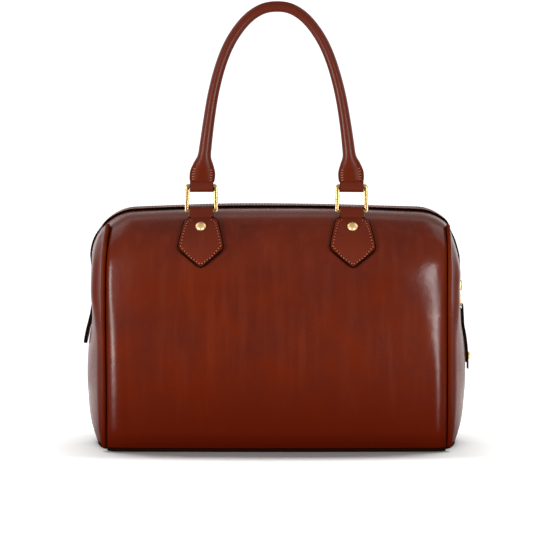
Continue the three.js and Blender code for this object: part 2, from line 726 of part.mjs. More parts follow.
function studDome(radius, height) {
  const rim = STUD_RIM_SHARE * height;
  const profile = [new THREE.Vector2(0, 0), new THREE.Vector2(radius, 0)];
  for (let i = 0; i < STUD_STEPS; i += 1) {
    const turn = i / STUD_STEPS * Math.PI / 2;
    profile.push(new THREE.Vector2(radius * Math.cos(turn), rim + (height - rim) * Math.sin(turn)));
  }
  profile.push(new THREE.Vector2(0, height));
  return new THREE.LatheGeometry(profile, STUD_SIDES).rotateX(Math.PI / 2);
}

const pullStud = addPiece("zip_pull_stud", studDome(PULL_STUD_RADIUS, PULL_STUD_RISE), brass);
pullStud.rotation.y = Math.PI / 2;
pullStud.position.set(pullFace(PULL_STUD_HEIGHT) + layerStep + PULL_LAYER + GAP, 0, PULL_STUD_HEIGHT);

// Place on the front wall beside a fitting's middle line: point and outward direction.
function fittingPlace(middle, arc, aside = 0) {
  const t = wallPlace(middle, arc);
  const x = middle + aside;
  return { point: wallPoint(x, t), out: wallOut(x, t) };
}

// Middle of the loop round a ring's lower bar, for fittings that have slid down the leather.
function loopCentre(slide) {
  const { point, out } = fittingPlace(HANDLE_HALF_SPACING, LOOP_ARC + slide);
  return point.addScaledVector(out, GAP + LOOP_RADIUS);
}

// A leather loop along X round the origin, left open for the bar.
function leatherLoop() {
  const ring = new THREE.Shape();
  ring.absarc(0, 0, LOOP_RADIUS, 0, 2 * Math.PI);
  const hole = new THREE.Path();
  hole.absarc(0, 0, LOOP_HOLE_RADIUS, 0, 2 * Math.PI);
  ring.holes.push(hole);
  const loop = new THREE.ExtrudeGeometry(ring, {
    depth: 2 * LOOP_HALF_WIDTH,
    bevelEnabled: false,
    curveSegments: 6,
  });
  return loop.translate(0, 0, -LOOP_HALF_WIDTH).rotateY(Math.PI / 2);
}

// Chape: a pointed tab draped over the shoulder, with the loop at its upper end.
const CHAPE_LONGEST_STEP = 7;   // longer stretches of the outline get a row in between

function chapeRowArcs() {
  const arcs = [];
  CHAPE_OUTLINE.forEach((row, i) => {
    const before = i > 0 ? CHAPE_OUTLINE[i - 1].arc : row.arc;
    const steps = Math.max(1, Math.ceil((row.arc - before) / CHAPE_LONGEST_STEP));
    for (let k = 1; k <= steps; k += 1) {
      arcs.push(THREE.MathUtils.lerp(before, row.arc, k / steps));
    }
  });
  return arcs;
}

function chape(side, slide) {
  const middle = side * HANDLE_HALF_SPACING;
  const arcs = chapeRowArcs();
  const rows = arcs.length - 1;
  const surface = (p, q) => {
    const arc = arcs[Math.round(q * rows)];
    const halfWidth = straightValue(CHAPE_OUTLINE, "arc", "halfWidth", arc);
    return fittingPlace(middle, arc + slide, (2 * p - 1) * halfWidth);
  };
  const tab = wallOn(surface, 2, rows, GAP, GAP + CHAPE_THICKNESS);
  const { y, z } = loopCentre(slide);
  const loop = leatherLoop().translate(middle, y, z);
  return toGeometry(toSolid(tab).add(toSolid(loop)));
}

// Ring in its own frame: the lower bar on the X axis, the ring upright above it.
function trapezoidPath(path, foot, top, low, high, corner) {
  path.moveTo(0, low);
  path.lineTo(foot - corner, low);
  path.quadraticCurveTo(foot, low, foot, low + corner);
  path.lineTo(top, high - corner);
  path.quadraticCurveTo(top, high, top - corner, high);
  path.lineTo(corner - top, high);
  path.quadraticCurveTo(-top, high, -top, high - corner);
  path.lineTo(-foot, low + corner);
  path.quadraticCurveTo(-foot, low, corner - foot, low);
  path.closePath();
  return path;
}

function ring() {
  const half = RING_BAR / 2;
  const [foot, top] = [RING_FOOT_HALF_WIDTH, RING_TOP_HALF_WIDTH];
  const shape = trapezoidPath(new THREE.Shape(), foot, top, -half, RING_RISE + half, RING_CORNER);
  const [innerFoot, innerTop] = [foot - RING_BAR, top - RING_BAR];
  const hole = new THREE.Path();
  trapezoidPath(hole, innerFoot, innerTop, half, RING_RISE - half, RING_INNER_CORNER);
  shape.holes.push(hole);
  const flat = new THREE.ExtrudeGeometry(shape, {
    depth: RING_DEPTH - 2 * RING_BEVEL,
    bevelThickness: RING_BEVEL,
    bevelSize: RING_BEVEL,
    bevelOffset: -RING_BEVEL,
    bevelSegments: 1,
    curveSegments: 3,
  });
  return flat.translate(0, 0, RING_BEVEL - RING_DEPTH / 2).rotateX(Math.PI / 2);
}

// The course of a handle in the side view, away from the upper bar: forward of the bar and above it.
function uprightCourse(rise) {
  return { forward: 0, up: rise };
}

// The back handle leaves its rings at a slant and bends over to hang straight down.
const COURSE_STEPS = 60;

function hangingCourse(rise) {
  const steep = THREE.MathUtils.degToRad(BACK_DROOP_ANGLE);
  const step = rise / COURSE_STEPS;
  let [forward, up] = [0, 0];
  for (let i = 0; i < COURSE_STEPS; i += 1) {
    const run = (i + 0.5) * step;
    const bent = THREE.MathUtils.smoothstep(run, BACK_DROOP_START, BACK_DROOP_START + BACK_DROOP_LENGTH);
    const angle = THREE.MathUtils.lerp(steep, Math.PI / 2, bent);
    forward += Math.cos(angle) * step;
    up -= Math.sin(angle) * step;
  }
  return { forward, up };
}

// Handle in the front's frame: both legs, the arch and the loops round the rings' upper bars.
const HANDLE_STEPS = 34;
const HANDLE_SIDES = 8;
const LEG_STEP_POWER = 1.3;     // draws the steps towards the ends, where the section changes

function handle(barCentre, course) {
  const place = (x, rise) => {
    const { forward, up } = course(rise);
    return new THREE.Vector3(x, barCentre.y - forward, barCentre.z + up);
  };
  const left = HANDLE_ARCH.map((row) => new THREE.Vector3(-row.halfSpan, row.rise, 0));
  const right = HANDLE_ARCH.slice(0, -1).reverse().map((row) => new THREE.Vector3(row.halfSpan, row.rise, 0));
  const arch = new THREE.CatmullRomCurve3([...left, ...right], false, "centripetal");
  const length = arch.getLength();
  const firstAlong = HANDLE_SECTION[0].along;
  const rings = [];
  for (let j = 0; j <= HANDLE_STEPS; j += 1) {
    const half = 2 * j / HANDLE_STEPS - 1;
    const along = firstAlong + (length / 2 - firstAlong) * (1 - Math.abs(half)) ** LEG_STEP_POWER;
    const f = half < 0 ? along / length : 1 - along / length;
    const flat = arch.getPointAt(f);
    const heading = arch.getTangentAt(f);
    const rising = place(0, flat.y + SMALL_DISTANCE).sub(place(0, flat.y - SMALL_DISTANCE)).normalize();
    const ahead = new THREE.Vector3(heading.x, 0, 0).addScaledVector(rising, heading.y).normalize();
    const flatwise = new THREE.Vector3(1, 0, 0).cross(rising);
    const wide = flatwise.clone().cross(ahead);
    const width = smoothValue(HANDLE_SECTION, "along", "width", along) / 2;
    const thickness = smoothValue(HANDLE_SECTION, "along", "thickness", along) / 2;
    const section = [];
    for (let i = 0; i < HANDLE_SIDES; i += 1) {
      const turn = (i + 0.5) / HANDLE_SIDES * 2 * Math.PI;
      section.push(place(flat.x, flat.y)
        .addScaledVector(wide, width * Math.cos(turn))
        .addScaledVector(flatwise, thickness * Math.sin(turn)));
    }
    rings.push(section);
  }
  let solid = toSolid(rodThrough(rings));
  for (const side of [-1, 1]) {
    const loop = leatherLoop().translate(side * HANDLE_HALF_SPACING, barCentre.y, barCentre.z);
    solid = solid.add(toSolid(loop));
  }
  return toGeometry(solid);
}

function ringTop(lean, slide) {
  const angle = THREE.MathUtils.degToRad(lean);
  const reach = new THREE.Vector3(0, -Math.sin(angle), Math.cos(angle));
  return loopCentre(slide).addScaledVector(reach, RING_RISE);
}

// The fittings of one face of the bag; the back ones are made as front ones and turned.
function addFittings(face, lean, slide, course) {
  const turned = face === "back";
  const { y, z } = loopCentre(slide);
  for (const side of [-1, 1]) {
    const label = (side > 0) !== turned ? "right" : "left";
    const tab = chape(side, slide);
    addPiece(`chape_${face}_${label}`, turned ? turnedToBack(tab) : tab, leather);
    const frame = ring().rotateX(THREE.MathUtils.degToRad(lean));
    frame.translate(side * HANDLE_HALF_SPACING, y, z);
    addPiece(`ring_${face}_${label}`, turned ? turnedToBack(frame) : frame, brass);
    const seat = fittingPlace(side * HANDLE_HALF_SPACING, STUD_ARC + slide);
    const stud = studDome(STUD_RADIUS, STUD_HEIGHT);
    stud.applyQuaternion(new THREE.Quaternion().setFromUnitVectors(new THREE.Vector3(0, 0, 1), seat.out));
    const lift = CHAPE_THICKNESS + 2 * GAP;
    stud.translate(...seat.point.addScaledVector(seat.out, lift).toArray());
    addPiece(`stud_${face}_${label}`, turned ? turnedToBack(stud) : stud, brass);
  }
  const grip = handle(ringTop(lean, slide), course);
  addPiece(`handle_${face}`, turned ? turnedToBack(grip) : grip, leather);
}

addFittings("front", 0, 0, uprightCourse);
addFittings("back", BACK_RING_LEAN, BACK_SLIDE, hangingCourse);

export default bag;
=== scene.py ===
"""A leather bowling bag: waxed walls, piped seams, a zip over the top, rolled handles and brass fittings."""
import math
from functools import lru_cache, partial

import bpy
from mathutils import Matrix, Vector, noise


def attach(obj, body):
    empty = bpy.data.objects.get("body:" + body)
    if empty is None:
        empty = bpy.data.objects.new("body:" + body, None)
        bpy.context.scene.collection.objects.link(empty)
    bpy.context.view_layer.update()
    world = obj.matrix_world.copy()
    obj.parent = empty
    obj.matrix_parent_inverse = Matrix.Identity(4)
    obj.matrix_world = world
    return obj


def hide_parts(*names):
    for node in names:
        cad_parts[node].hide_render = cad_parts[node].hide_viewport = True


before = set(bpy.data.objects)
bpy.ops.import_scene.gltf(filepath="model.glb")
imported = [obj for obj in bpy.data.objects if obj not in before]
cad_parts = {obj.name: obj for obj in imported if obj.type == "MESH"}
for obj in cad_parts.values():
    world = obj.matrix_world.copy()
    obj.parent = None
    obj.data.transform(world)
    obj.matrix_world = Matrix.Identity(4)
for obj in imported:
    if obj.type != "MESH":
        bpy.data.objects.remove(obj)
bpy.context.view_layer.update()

# Sizes are in millimetres and angles in degrees. Meshes and the studio are in metres.
MM = 0.001
RIGHT = Vector((1, 0, 0))
BACK = Vector((0, 1, 0))
UP = Vector((0, 0, 1))
WELD = 1e-6
FRONT = Matrix.Identity(4)
HALF_TURN = Matrix.Rotation(math.pi, 4, "Z")
FACES = (("front", FRONT), ("back", HALF_TURN))

LEATHER = 2.2
GAP = 0.3
BASE_THICKNESS = 3
BASE_INSET = 0.5
BASE_EDGE = 0.6
BAND_THICKNESS = 2
CHAPE_THICKNESS = 3

# The zip line: a shallow crown, a round corner and the side.
RIDGE_HEIGHT = 201
RIDGE_HALF_WIDTH = 156.5
CROWN_RADIUS = 2800
CORNER_RADIUS = 38
ZIP_END_HEIGHT = 130
ZIP_HALF_SLOT = 4.5
BAND_INNER = 5
BAND_OUTER = 18
TOP_BAND_DROP = 0.15
BAND_CROWN = 0.8
BAND_RISE = 0.2
BAND_SINK = 0.6
BAND_EDGE = 0.8          # width of the rounded edge
BAND_EDGE_DROP = 0.3
BAND_PAINT_WIDTH = 0.35
BAND_STITCH_INSET = 2.3
BAND_TURN = (22, 16)     # before and after the seams, where the bands turn from the top to the sides

# The walls between the four upright seams.
SEAM_HALF_WIDTH = 141.5
SEAM_DEPTH = 71
PANEL_BULGE = 3
EDGE_ROLL_DEPTH = 6
EDGE_ROLL_WIDTH = 14
GENTLE_ROLL_WIDTH = 40
SHOULDER_HEIGHT = 130
SHOULDER_START = 0.36
SHOULDER_POWER = 3.4
FOOT_HEIGHT = 16
FOOT_TUCK = 4
GUSSET_TOP = 0.9
GUSSET_LOW_SHARE = 7 / 15
PIPING_RADIUS = 1.8
PIPING_LIFT = 1.0
PIPING_TIP_DEPTH = 45
PIPING_FOOT = 0.004
GROOVE_DEPTH = 3

# Rolls beside the seams, by place up the wall: width and depth, tight at the top left and soft at the right.
LEFT_ROLL = [(0, 14, 6), (0.22, 13.5, 5.8), (0.3, 9, 4), (0.37, 5.5, 2.4), (1, 5.5, 2.4)]
RIGHT_ROLL = [(0, 11, 6), (0.2, 12, 6), (0.34, 24, 6), (1, 24, 6)]

# Height, reach from the middle and swell beside the middle of the side walls.
SIDE_PROFILE = [
    (0, 152.5, 0), (18, 158.4, 0), (42, 161, 0), (68, 161.6, 0), (92, 159.6, 1),
    (112, 155, 5), (130, 152.8, 8), (147, 154.4, 6.5), (160.4, 156.5, 4), (174, 156.5, 2), (185, 156.5, 0),
]

# Chapes and rings: distances along the leather from the zip line, with half widths.
HANDLE_HALF_SPACING = 62.8
LOOP_ARC = 52
LOOP_RADIUS = 4
LOOP_WALL = 1.65
LOOP_HALF_WIDTH = 9.8
STRIP_EDGE = 0.35
CHAPE_OUTLINE = [
    (60, 9.6), (63, 14.4), (77, 17.3), (88.5, 19.8), (91, 19.4), (98.5, 10.3), (105.5, 1.6),
]
CHAPE_STITCH_LINE = [(63.4, 7.6), (66, 11.6), (77.4, 14.3), (88, 16.6), (96.8, 8.6), (102.3, 0)]
STUD_ARC = 71.5
STUD_RADIUS = 4.4
STUD_HEIGHT = 3
STUD_RIM_SHARE = 0.2
STUD_SINK = 0.05
RING_BAR = 3.4
RING_DEPTH = 3.2
RING_RISE = 20
RING_SLACK = 0.9
RING_FOOT_HALF_WIDTH = 14
RING_TOP_HALF_WIDTH = 13.4
RING_CORNER = 2.4
BACK_RING_LEAN = 112
BACK_SLIDE = 7

# Handles: the arch above the rings' upper bars, the section by distance along it, and the tongues' taper.
HANDLE_ARCH = [
    (0, 62.8), (13, 62), (30, 60.2), (55, 56.8), (80, 52.4), (104, 45.8), (123, 37.4), (139, 25.6),
    (148, 13), (150.4, 0),
]
HANDLE_SECTION = [
    (4.4, 18.6, 5.6), (5, 20.2, 6.8), (6.5, 21.2, 7.6), (13, 21.2, 8.6), (20, 16.6, 9.2), (26, 11.6, 9.5),
    (34, 10.5, 9.7), (60, 9.6, 9.5), (100, 9, 9),
]
TONGUE_TAPER = [(6.4, 1.2), (5.6, 2.0), (4.8, 2.8), (3.5, 3.5)]
BACK_DROOP_ANGLE = 54
BACK_DROOP_START = 16
BACK_DROOP_LENGTH = 26

# Zip, its end tab, slider and pull.
TAB_TOP_HEIGHT = 129
TAB_TIP_HEIGHT = 84
TAB_HALF_WIDTH = 10
TAB_THICKNESS = 2.8
TAB_TIP_LIFT = 1.2
TAB_EDGE = 0.5
TAPE_THICKNESS = 0.9
TAPE_SINK = 0.1
TOOTH_PITCH = 2.4
TOOTH_SIZE = (1.05, 3.6, 1.7)
TOOTH_ASIDE = 1.1
TOOTH_LIFT = 0.6
SLIDER_HEIGHT = 134
SLIDER_LENGTH = 9
SLIDER_WIDTH = 8
SLIDER_RISE = 4.2
SLIDER_EDGE = 1.2
CHAIN_RISE = 1.2
BAIL_BAR = 1.8
BAIL_WIDTH = 14
BAIL_CORNER = 2.6
BAIL_FOOT_HEIGHT = 117
BAIL_LEAN = 8
PULL_LAYER = 1.1
PULL_HALF_WIDTH = 4.4
PULL_INNER_TIP = 68
PULL_OUTER_TIP = 62.5
PULL_FOLD_DROP = 3.5     # below the bail, where the two layers meet
PULL_SLOPE = 0.045
PULL_STANDOFF = 0.5
PULL_STUD_HEIGHT = 73.5
PULL_STUD_RADIUS = 3.3
PULL_STUD_RISE = 2.4

# Saddle stitches. Those at the handles' ends are given by length, width and height.
STITCH_PITCH = 2.6
STITCH_LENGTH = 1.7
STITCH_WIDTH = 0.95
STITCH_RISE = 0.2
STITCH_HOLE = 1.2
HANDLE_STITCH = (2.6, 0.9, 0.7)
HANDLE_HOLE = (1.1, 0.8, 0.4)
HANDLE_STITCH_PLACES = (6.4, 8.6, 10.8, 13.0, 15.2)
HANDLE_STITCH_TURN = 0.8     # radians round from the handle's edge
HANDLE_STITCH_SLANT = 0.35
HANDLE_STITCH_LIFT = 0.1
HANDLE_HOLE_ASIDE = 1.1
BAND_STITCH_SLANT = 0.12

# What use has done to the leather. A pair says where an effect begins and where it is full.
WAVE_LENGTH = 85
WAVE_DEPTH = 0.7
FREE_HEIGHTS = (2, 40)
PRESSED_CORNER = Vector((156, 0, 173))
PRESSED_REACH = 30
PRESSED_SHIFT = Vector((-3.5, 0, -0.8))
PRESSED_FROM_SEAM = (1, 11)
SIDE_PRESS = 1.9
SIDE_PRESS_HEIGHT = 134
SIDE_PRESS_REACH = 15
SIDE_PRESS_ASIDE = (20, 45)
SEAM_LEAN = 2.7
SEAM_LEAN_REACH = 14
SEAM_LEAN_HEIGHTS = (150, 205)
SEAM_LEAN_FORWARD = (-15, -40)
BULGE_PLACE = Vector((103, 147))
BULGE_SPREAD = Vector((16, 14))
BULGE_DEPTH = 2.1
BULGE_FORWARD = (-20, -60)
noise.seed_set(3)        # the waves are the same each time


def mix(a, b, f):
    return a + (b - a) * f


def smoothstep(low, high, value):
    f = min(max((value - low) / (high - low), 0), 1)
    return f * f * (3 - 2 * f)


def straight_value(rows, place):
    """The second column of a table at any place along its first, joined by straight lines."""
    for before, after in zip(rows, rows[1:]):
        if place <= after[0]:
            f = max(0, (place - before[0]) / (after[0] - before[0]))
            return mix(before[1], after[1], f)
    return rows[-1][1]


def smooth_value(rows, place, column=1):
    """A column of a table at any place along its first, joined by a smooth curve."""
    last = len(rows) - 1
    i = 0
    while i < last - 1 and place > rows[i + 1][0]:
        i += 1

    def slope(k):
        before, after = rows[max(0, k - 1)], rows[min(last, k + 1)]
        return (after[column] - before[column]) / (after[0] - before[0])

    span = rows[i + 1][0] - rows[i][0]
    f = min(max((place - rows[i][0]) / span, 0), 1)
    bend = slope(i) * f * (1 - f) ** 2 - slope(i + 1) * f * f * (1 - f)
    return mix(rows[i][column], rows[i + 1][column], f * f * (3 - 2 * f)) + span * bend


def settled(point):
    """Where a place on the bag lies after use. Places near the floor stay put.

    The leather has slow waves. The right side is pressed in at its top corner and beside the slider, the left
    front seam leans inwards at the top, and the front is a little fuller at the upper right.
    """
    free = smoothstep(*FREE_HEIGHTS, point.z)
    wave = noise.noise_vector(point / WAVE_LENGTH) * WAVE_DEPTH
    corner = Vector((point.x, 0, point.z)) - PRESSED_CORNER
    near = max(0, 1 - corner.length_squared / PRESSED_REACH ** 2)
    outer = smoothstep(*PRESSED_FROM_SEAM, point.x - SEAM_HALF_WIDTH)
    across = (point.x - BULGE_PLACE.x) / BULGE_SPREAD.x
    above = (point.z - BULGE_PLACE.y) / BULGE_SPREAD.y
    bulge = BULGE_DEPTH * math.exp(-(across ** 2 + above ** 2) / 2) * smoothstep(*BULGE_FORWARD, point.y)
    beside = math.exp(-((point.x + SEAM_HALF_WIDTH) / SEAM_LEAN_REACH) ** 2)
    forward = smoothstep(*SEAM_LEAN_FORWARD, point.y)
    lean = RIGHT * SEAM_LEAN * smoothstep(*SEAM_LEAN_HEIGHTS, point.z) * beside * forward
    level = math.exp(-((point.z - SIDE_PRESS_HEIGHT) / SIDE_PRESS_REACH) ** 2)
    flank = level * smoothstep(*SIDE_PRESS_ASIDE, abs(point.y)) * outer
    pressed = PRESSED_SHIFT * near * near * outer - RIGHT * SIDE_PRESS * flank
    return point + wave * free + pressed - BACK * bulge + lean


def unchanged(point):
    """Metal fittings keep their shape."""
    return point


# The zip line, by distance from the middle of the top.
corner_centre_x = RIDGE_HALF_WIDTH - CORNER_RADIUS
crown_spread = math.asin(corner_centre_x / (CROWN_RADIUS - CORNER_RADIUS))
crown_length = CROWN_RADIUS * crown_spread
corner_length = CORNER_RADIUS * (math.pi / 2 - crown_spread)
corner_centre_z = RIDGE_HEIGHT - CROWN_RADIUS + (CROWN_RADIUS - CORNER_RADIUS) * math.cos(crown_spread)


def side_reach(height):
    return smooth_value(SIDE_PROFILE, height)


def ridge_point(distance):
    side = -1 if distance < 0 else 1
    run = abs(distance)
    if run < crown_length:
        lean = run / CROWN_RADIUS
        height = RIDGE_HEIGHT - CROWN_RADIUS * (1 - math.cos(lean))
        return Vector((side * CROWN_RADIUS * math.sin(lean), 0, height))
    if run < crown_length + corner_length:
        lean = crown_spread + (run - crown_length) / CORNER_RADIUS
        x = corner_centre_x + CORNER_RADIUS * math.sin(lean)
        return Vector((side * x, 0, corner_centre_z + CORNER_RADIUS * math.cos(lean)))
    height = corner_centre_z - (run - crown_length - corner_length)
    return Vector((side * side_reach(height), 0, height))


def ridge_along(distance):
    return (ridge_point(distance + 0.05) - ridge_point(distance - 0.05)).normalized()


def ridge_distance_at_height(height):
    return crown_length + corner_length + corner_centre_z - height


def ridge_height_at(x):
    across = abs(x)
    if across < CROWN_RADIUS * math.sin(crown_spread):
        return RIDGE_HEIGHT - CROWN_RADIUS + math.sqrt(CROWN_RADIUS ** 2 - across ** 2)
    return corner_centre_z + math.sqrt(CORNER_RADIUS ** 2 - (across - corner_centre_x) ** 2)


zip_half_length = ridge_distance_at_height(ZIP_END_HEIGHT)
ridge_at_shoulder = ridge_distance_at_height(SHOULDER_HEIGHT)
seam_lean = math.asin((SEAM_HALF_WIDTH - corner_centre_x) / CORNER_RADIUS)
ridge_at_seam = crown_length + CORNER_RADIUS * (seam_lean - crown_spread)


def wall_depth(x, t):
    """How far the wall stands in front of the middle plane, at its fullest."""
    u = x / SEAM_HALF_WIDTH
    rows = LEFT_ROLL if x < 0 else RIGHT_ROLL
    width = smooth_value(rows, t)
    depth = smooth_value(rows, t, 2)
    inside = SEAM_HALF_WIDTH - abs(x)
    roll = max(0, 1 - inside / width)
    gentle = max(0, 1 - inside / GENTLE_ROLL_WIDTH)
    drop = depth * (1 - math.sqrt(max(0, 1 - roll * roll))) + (EDGE_ROLL_DEPTH - depth) * gentle * gentle
    return SEAM_DEPTH + PANEL_BULGE * (1 - u * u) + EDGE_ROLL_DEPTH - drop


def wall_point(x, t):
    """Outer face of the front wall: t runs from the base (0) to the zip (1)."""
    depth = wall_depth(x, t)
    if t < SHOULDER_START:
        hem = BASE_THICKNESS + GAP
        height = mix(hem, SHOULDER_HEIGHT, t / SHOULDER_START)
        tuck = max(0, 1 - (height - hem) / FOOT_HEIGHT)
        return Vector((x, FOOT_TUCK * tuck * tuck - depth, height))
    rise = ridge_height_at(x) - SHOULDER_HEIGHT
    turn = (t - SHOULDER_START) / (1 - SHOULDER_START) * math.atan2(rise, ZIP_HALF_SLOT)
    c = max(0, math.cos(turn)) / depth
    s = max(0, math.sin(turn)) / rise
    reach = (c ** SHOULDER_POWER + s ** SHOULDER_POWER) ** (-1 / SHOULDER_POWER)
    return Vector((x, -reach * math.cos(turn), SHOULDER_HEIGHT + reach * math.sin(turn)))


def wall_upwards(x, t):
    return (wall_point(x, t + 0.002) - wall_point(x, t - 0.002)).normalized()


def wall_out(x, t):
    along = wall_point(x + 0.05, t) - wall_point(x - 0.05, t)
    return along.cross(wall_upwards(x, t)).normalized()


@lru_cache(maxsize=None)
def wall_place(x, arc):
    """The place t on the front wall at a distance from the zip line, measured along the leather."""
    steps = 800
    length = ZIP_HALF_SLOT
    here = wall_point(x, 1)
    for i in range(steps - 1, -1, -1):
        after = wall_point(x, i / steps)
        step = (after - here).length
        if length + step >= arc:
            return (i + 1 - (arc - length) / step) / steps
        length += step
        here = after
    return 0


def fitting_place(middle, arc, aside=0, lift=0):
    """A place on the front wall beside a fitting's middle line, lifted off it, and the direction outward."""
    t = wall_place(middle, arc)
    out = wall_out(middle + aside, t)
    return wall_point(middle + aside, t) + out * lift, out


piping_top = 1
while wall_point(SEAM_HALF_WIDTH, piping_top).y > -PIPING_TIP_DEPTH:
    piping_top -= 0.002


def seam_closed(t):
    """1 above the piping's tip, where front and side meet, and 0 where the piping parts them."""
    return smoothstep(piping_top - 0.002, piping_top + 0.018, t)


def gusset_section(q):
    """Seam, middle of the side and the seam's t, at a place q from the base (0) to the gusset's top (1)."""
    if q < GUSSET_LOW_SHARE:
        t = SHOULDER_START * q / GUSSET_LOW_SHARE
        seam = wall_point(SEAM_HALF_WIDTH, t)
        return seam, Vector((side_reach(seam.z), 0, seam.z)), t
    f = GUSSET_TOP * (q - GUSSET_LOW_SHARE) / (1 - GUSSET_LOW_SHARE)
    t = mix(SHOULDER_START, 1, f)
    return wall_point(SEAM_HALF_WIDTH, t), ridge_point(mix(ridge_at_shoulder, ridge_at_seam, f)), t


def gusset_point(p, q):
    """Outer face of the right side wall: p runs from the front seam (0) to the back seam (1)."""
    seam, middle, t = gusset_section(q)
    a = 2 * p - 1
    swell = smooth_value(SIDE_PROFILE, middle.z, 2) * 4 * a * a * (1 - a * a)
    valley = smoothstep(0.74, 0.84, abs(a)) - smoothstep(0.86, 0.97, abs(a))
    groove = GROOVE_DEPTH * valley * (1 - smoothstep(piping_top - 0.12, piping_top + 0.01, t))
    return Vector((mix(middle.x, seam.x, a * a) + swell - groove, -seam.y * a, mix(middle.z, seam.z, a * a)))


def gusset_out(p, q):
    along = gusset_point(p + 0.002, q) - gusset_point(p - 0.002, q)
    across = gusset_point(p, q + 0.002) - gusset_point(p, q - 0.002)
    return along.cross(across).normalized()


@lru_cache(maxsize=None)
def strip_drop(run):
    """How far the leather at the bands' outer edges lies below the zip line."""
    if run < ridge_at_seam:
        return TOP_BAND_DROP
    f = (ridge_at_shoulder - run) / (ridge_at_shoulder - ridge_at_seam)
    seam = wall_point(SEAM_HALF_WIDTH, mix(SHOULDER_START, 1, f))
    middle = ridge_point(run)
    share = min(1, (BAND_OUTER / seam.y) ** 2)
    swell = smooth_value(SIDE_PROFILE, middle.z, 2) * 4 * share * (1 - share)
    return (middle - seam).dot(ridge_along(run).cross(BACK)) * share - swell


def strip_place(y, distance, lift):
    """A place beside the zip line, lifted off the leather, and the direction outward."""
    aside = (y / BAND_OUTER) ** 2
    sideways = smoothstep(ridge_at_seam - BAND_TURN[0], ridge_at_seam + BAND_TURN[1], abs(distance))
    crown = BAND_CROWN * (0.55 - aside) * (1 - sideways)
    sink = BAND_SINK * sideways
    out = ridge_along(distance).cross(BACK)
    height = lift + crown - sink + BAND_RISE * (1 - sideways) - strip_drop(abs(distance)) * aside
    return ridge_point(distance) + out * height + BACK * y, out


# Materials. Colours are sRGB.
def linear(colour):
    """Linear RGBA of an sRGB hex colour."""
    parts = [int(colour[i:i + 2], 16) / 255 for i in (1, 3, 5)]
    return tuple(c / 12.92 if c <= 0.04045 else ((c + 0.055) / 1.055) ** 2.4 for c in parts) + (1,)


def add_node(tree, kind, inputs, **settings):
    """Adds a shader node with its settings. Inputs are values, or the output sockets to link."""
    node = tree.nodes.new("ShaderNode" + kind)
    for name, value in settings.items():
        setattr(node, name, value)
    for name, value in inputs.items():
        if isinstance(value, bpy.types.NodeSocket):
            tree.links.new(value, node.inputs[name])
        else:
            node.inputs[name].default_value = value
    return node


def new_material(name, **settings):
    """A material with one principled shader, and the shader's uniform values."""
    material = bpy.data.materials.new(name)
    material.use_nodes = True
    shader = material.node_tree.nodes["Principled BSDF"]
    for socket, value in settings.items():
        shader.inputs[socket.replace("_", " ")].default_value = value
    return material, material.node_tree, shader


SHEEN = 0.22             # specular level of the waxed leather, which shows little of the room straight on
DULL_MARK = 0.3          # value of the edge paint that only takes the wax's gloss away
# Dark edge paint. In the side walls' creases and over the base the same colour is painted shade.
EDGE_PAINT_AND_SHADE_COLOUR = "#1a0a06"


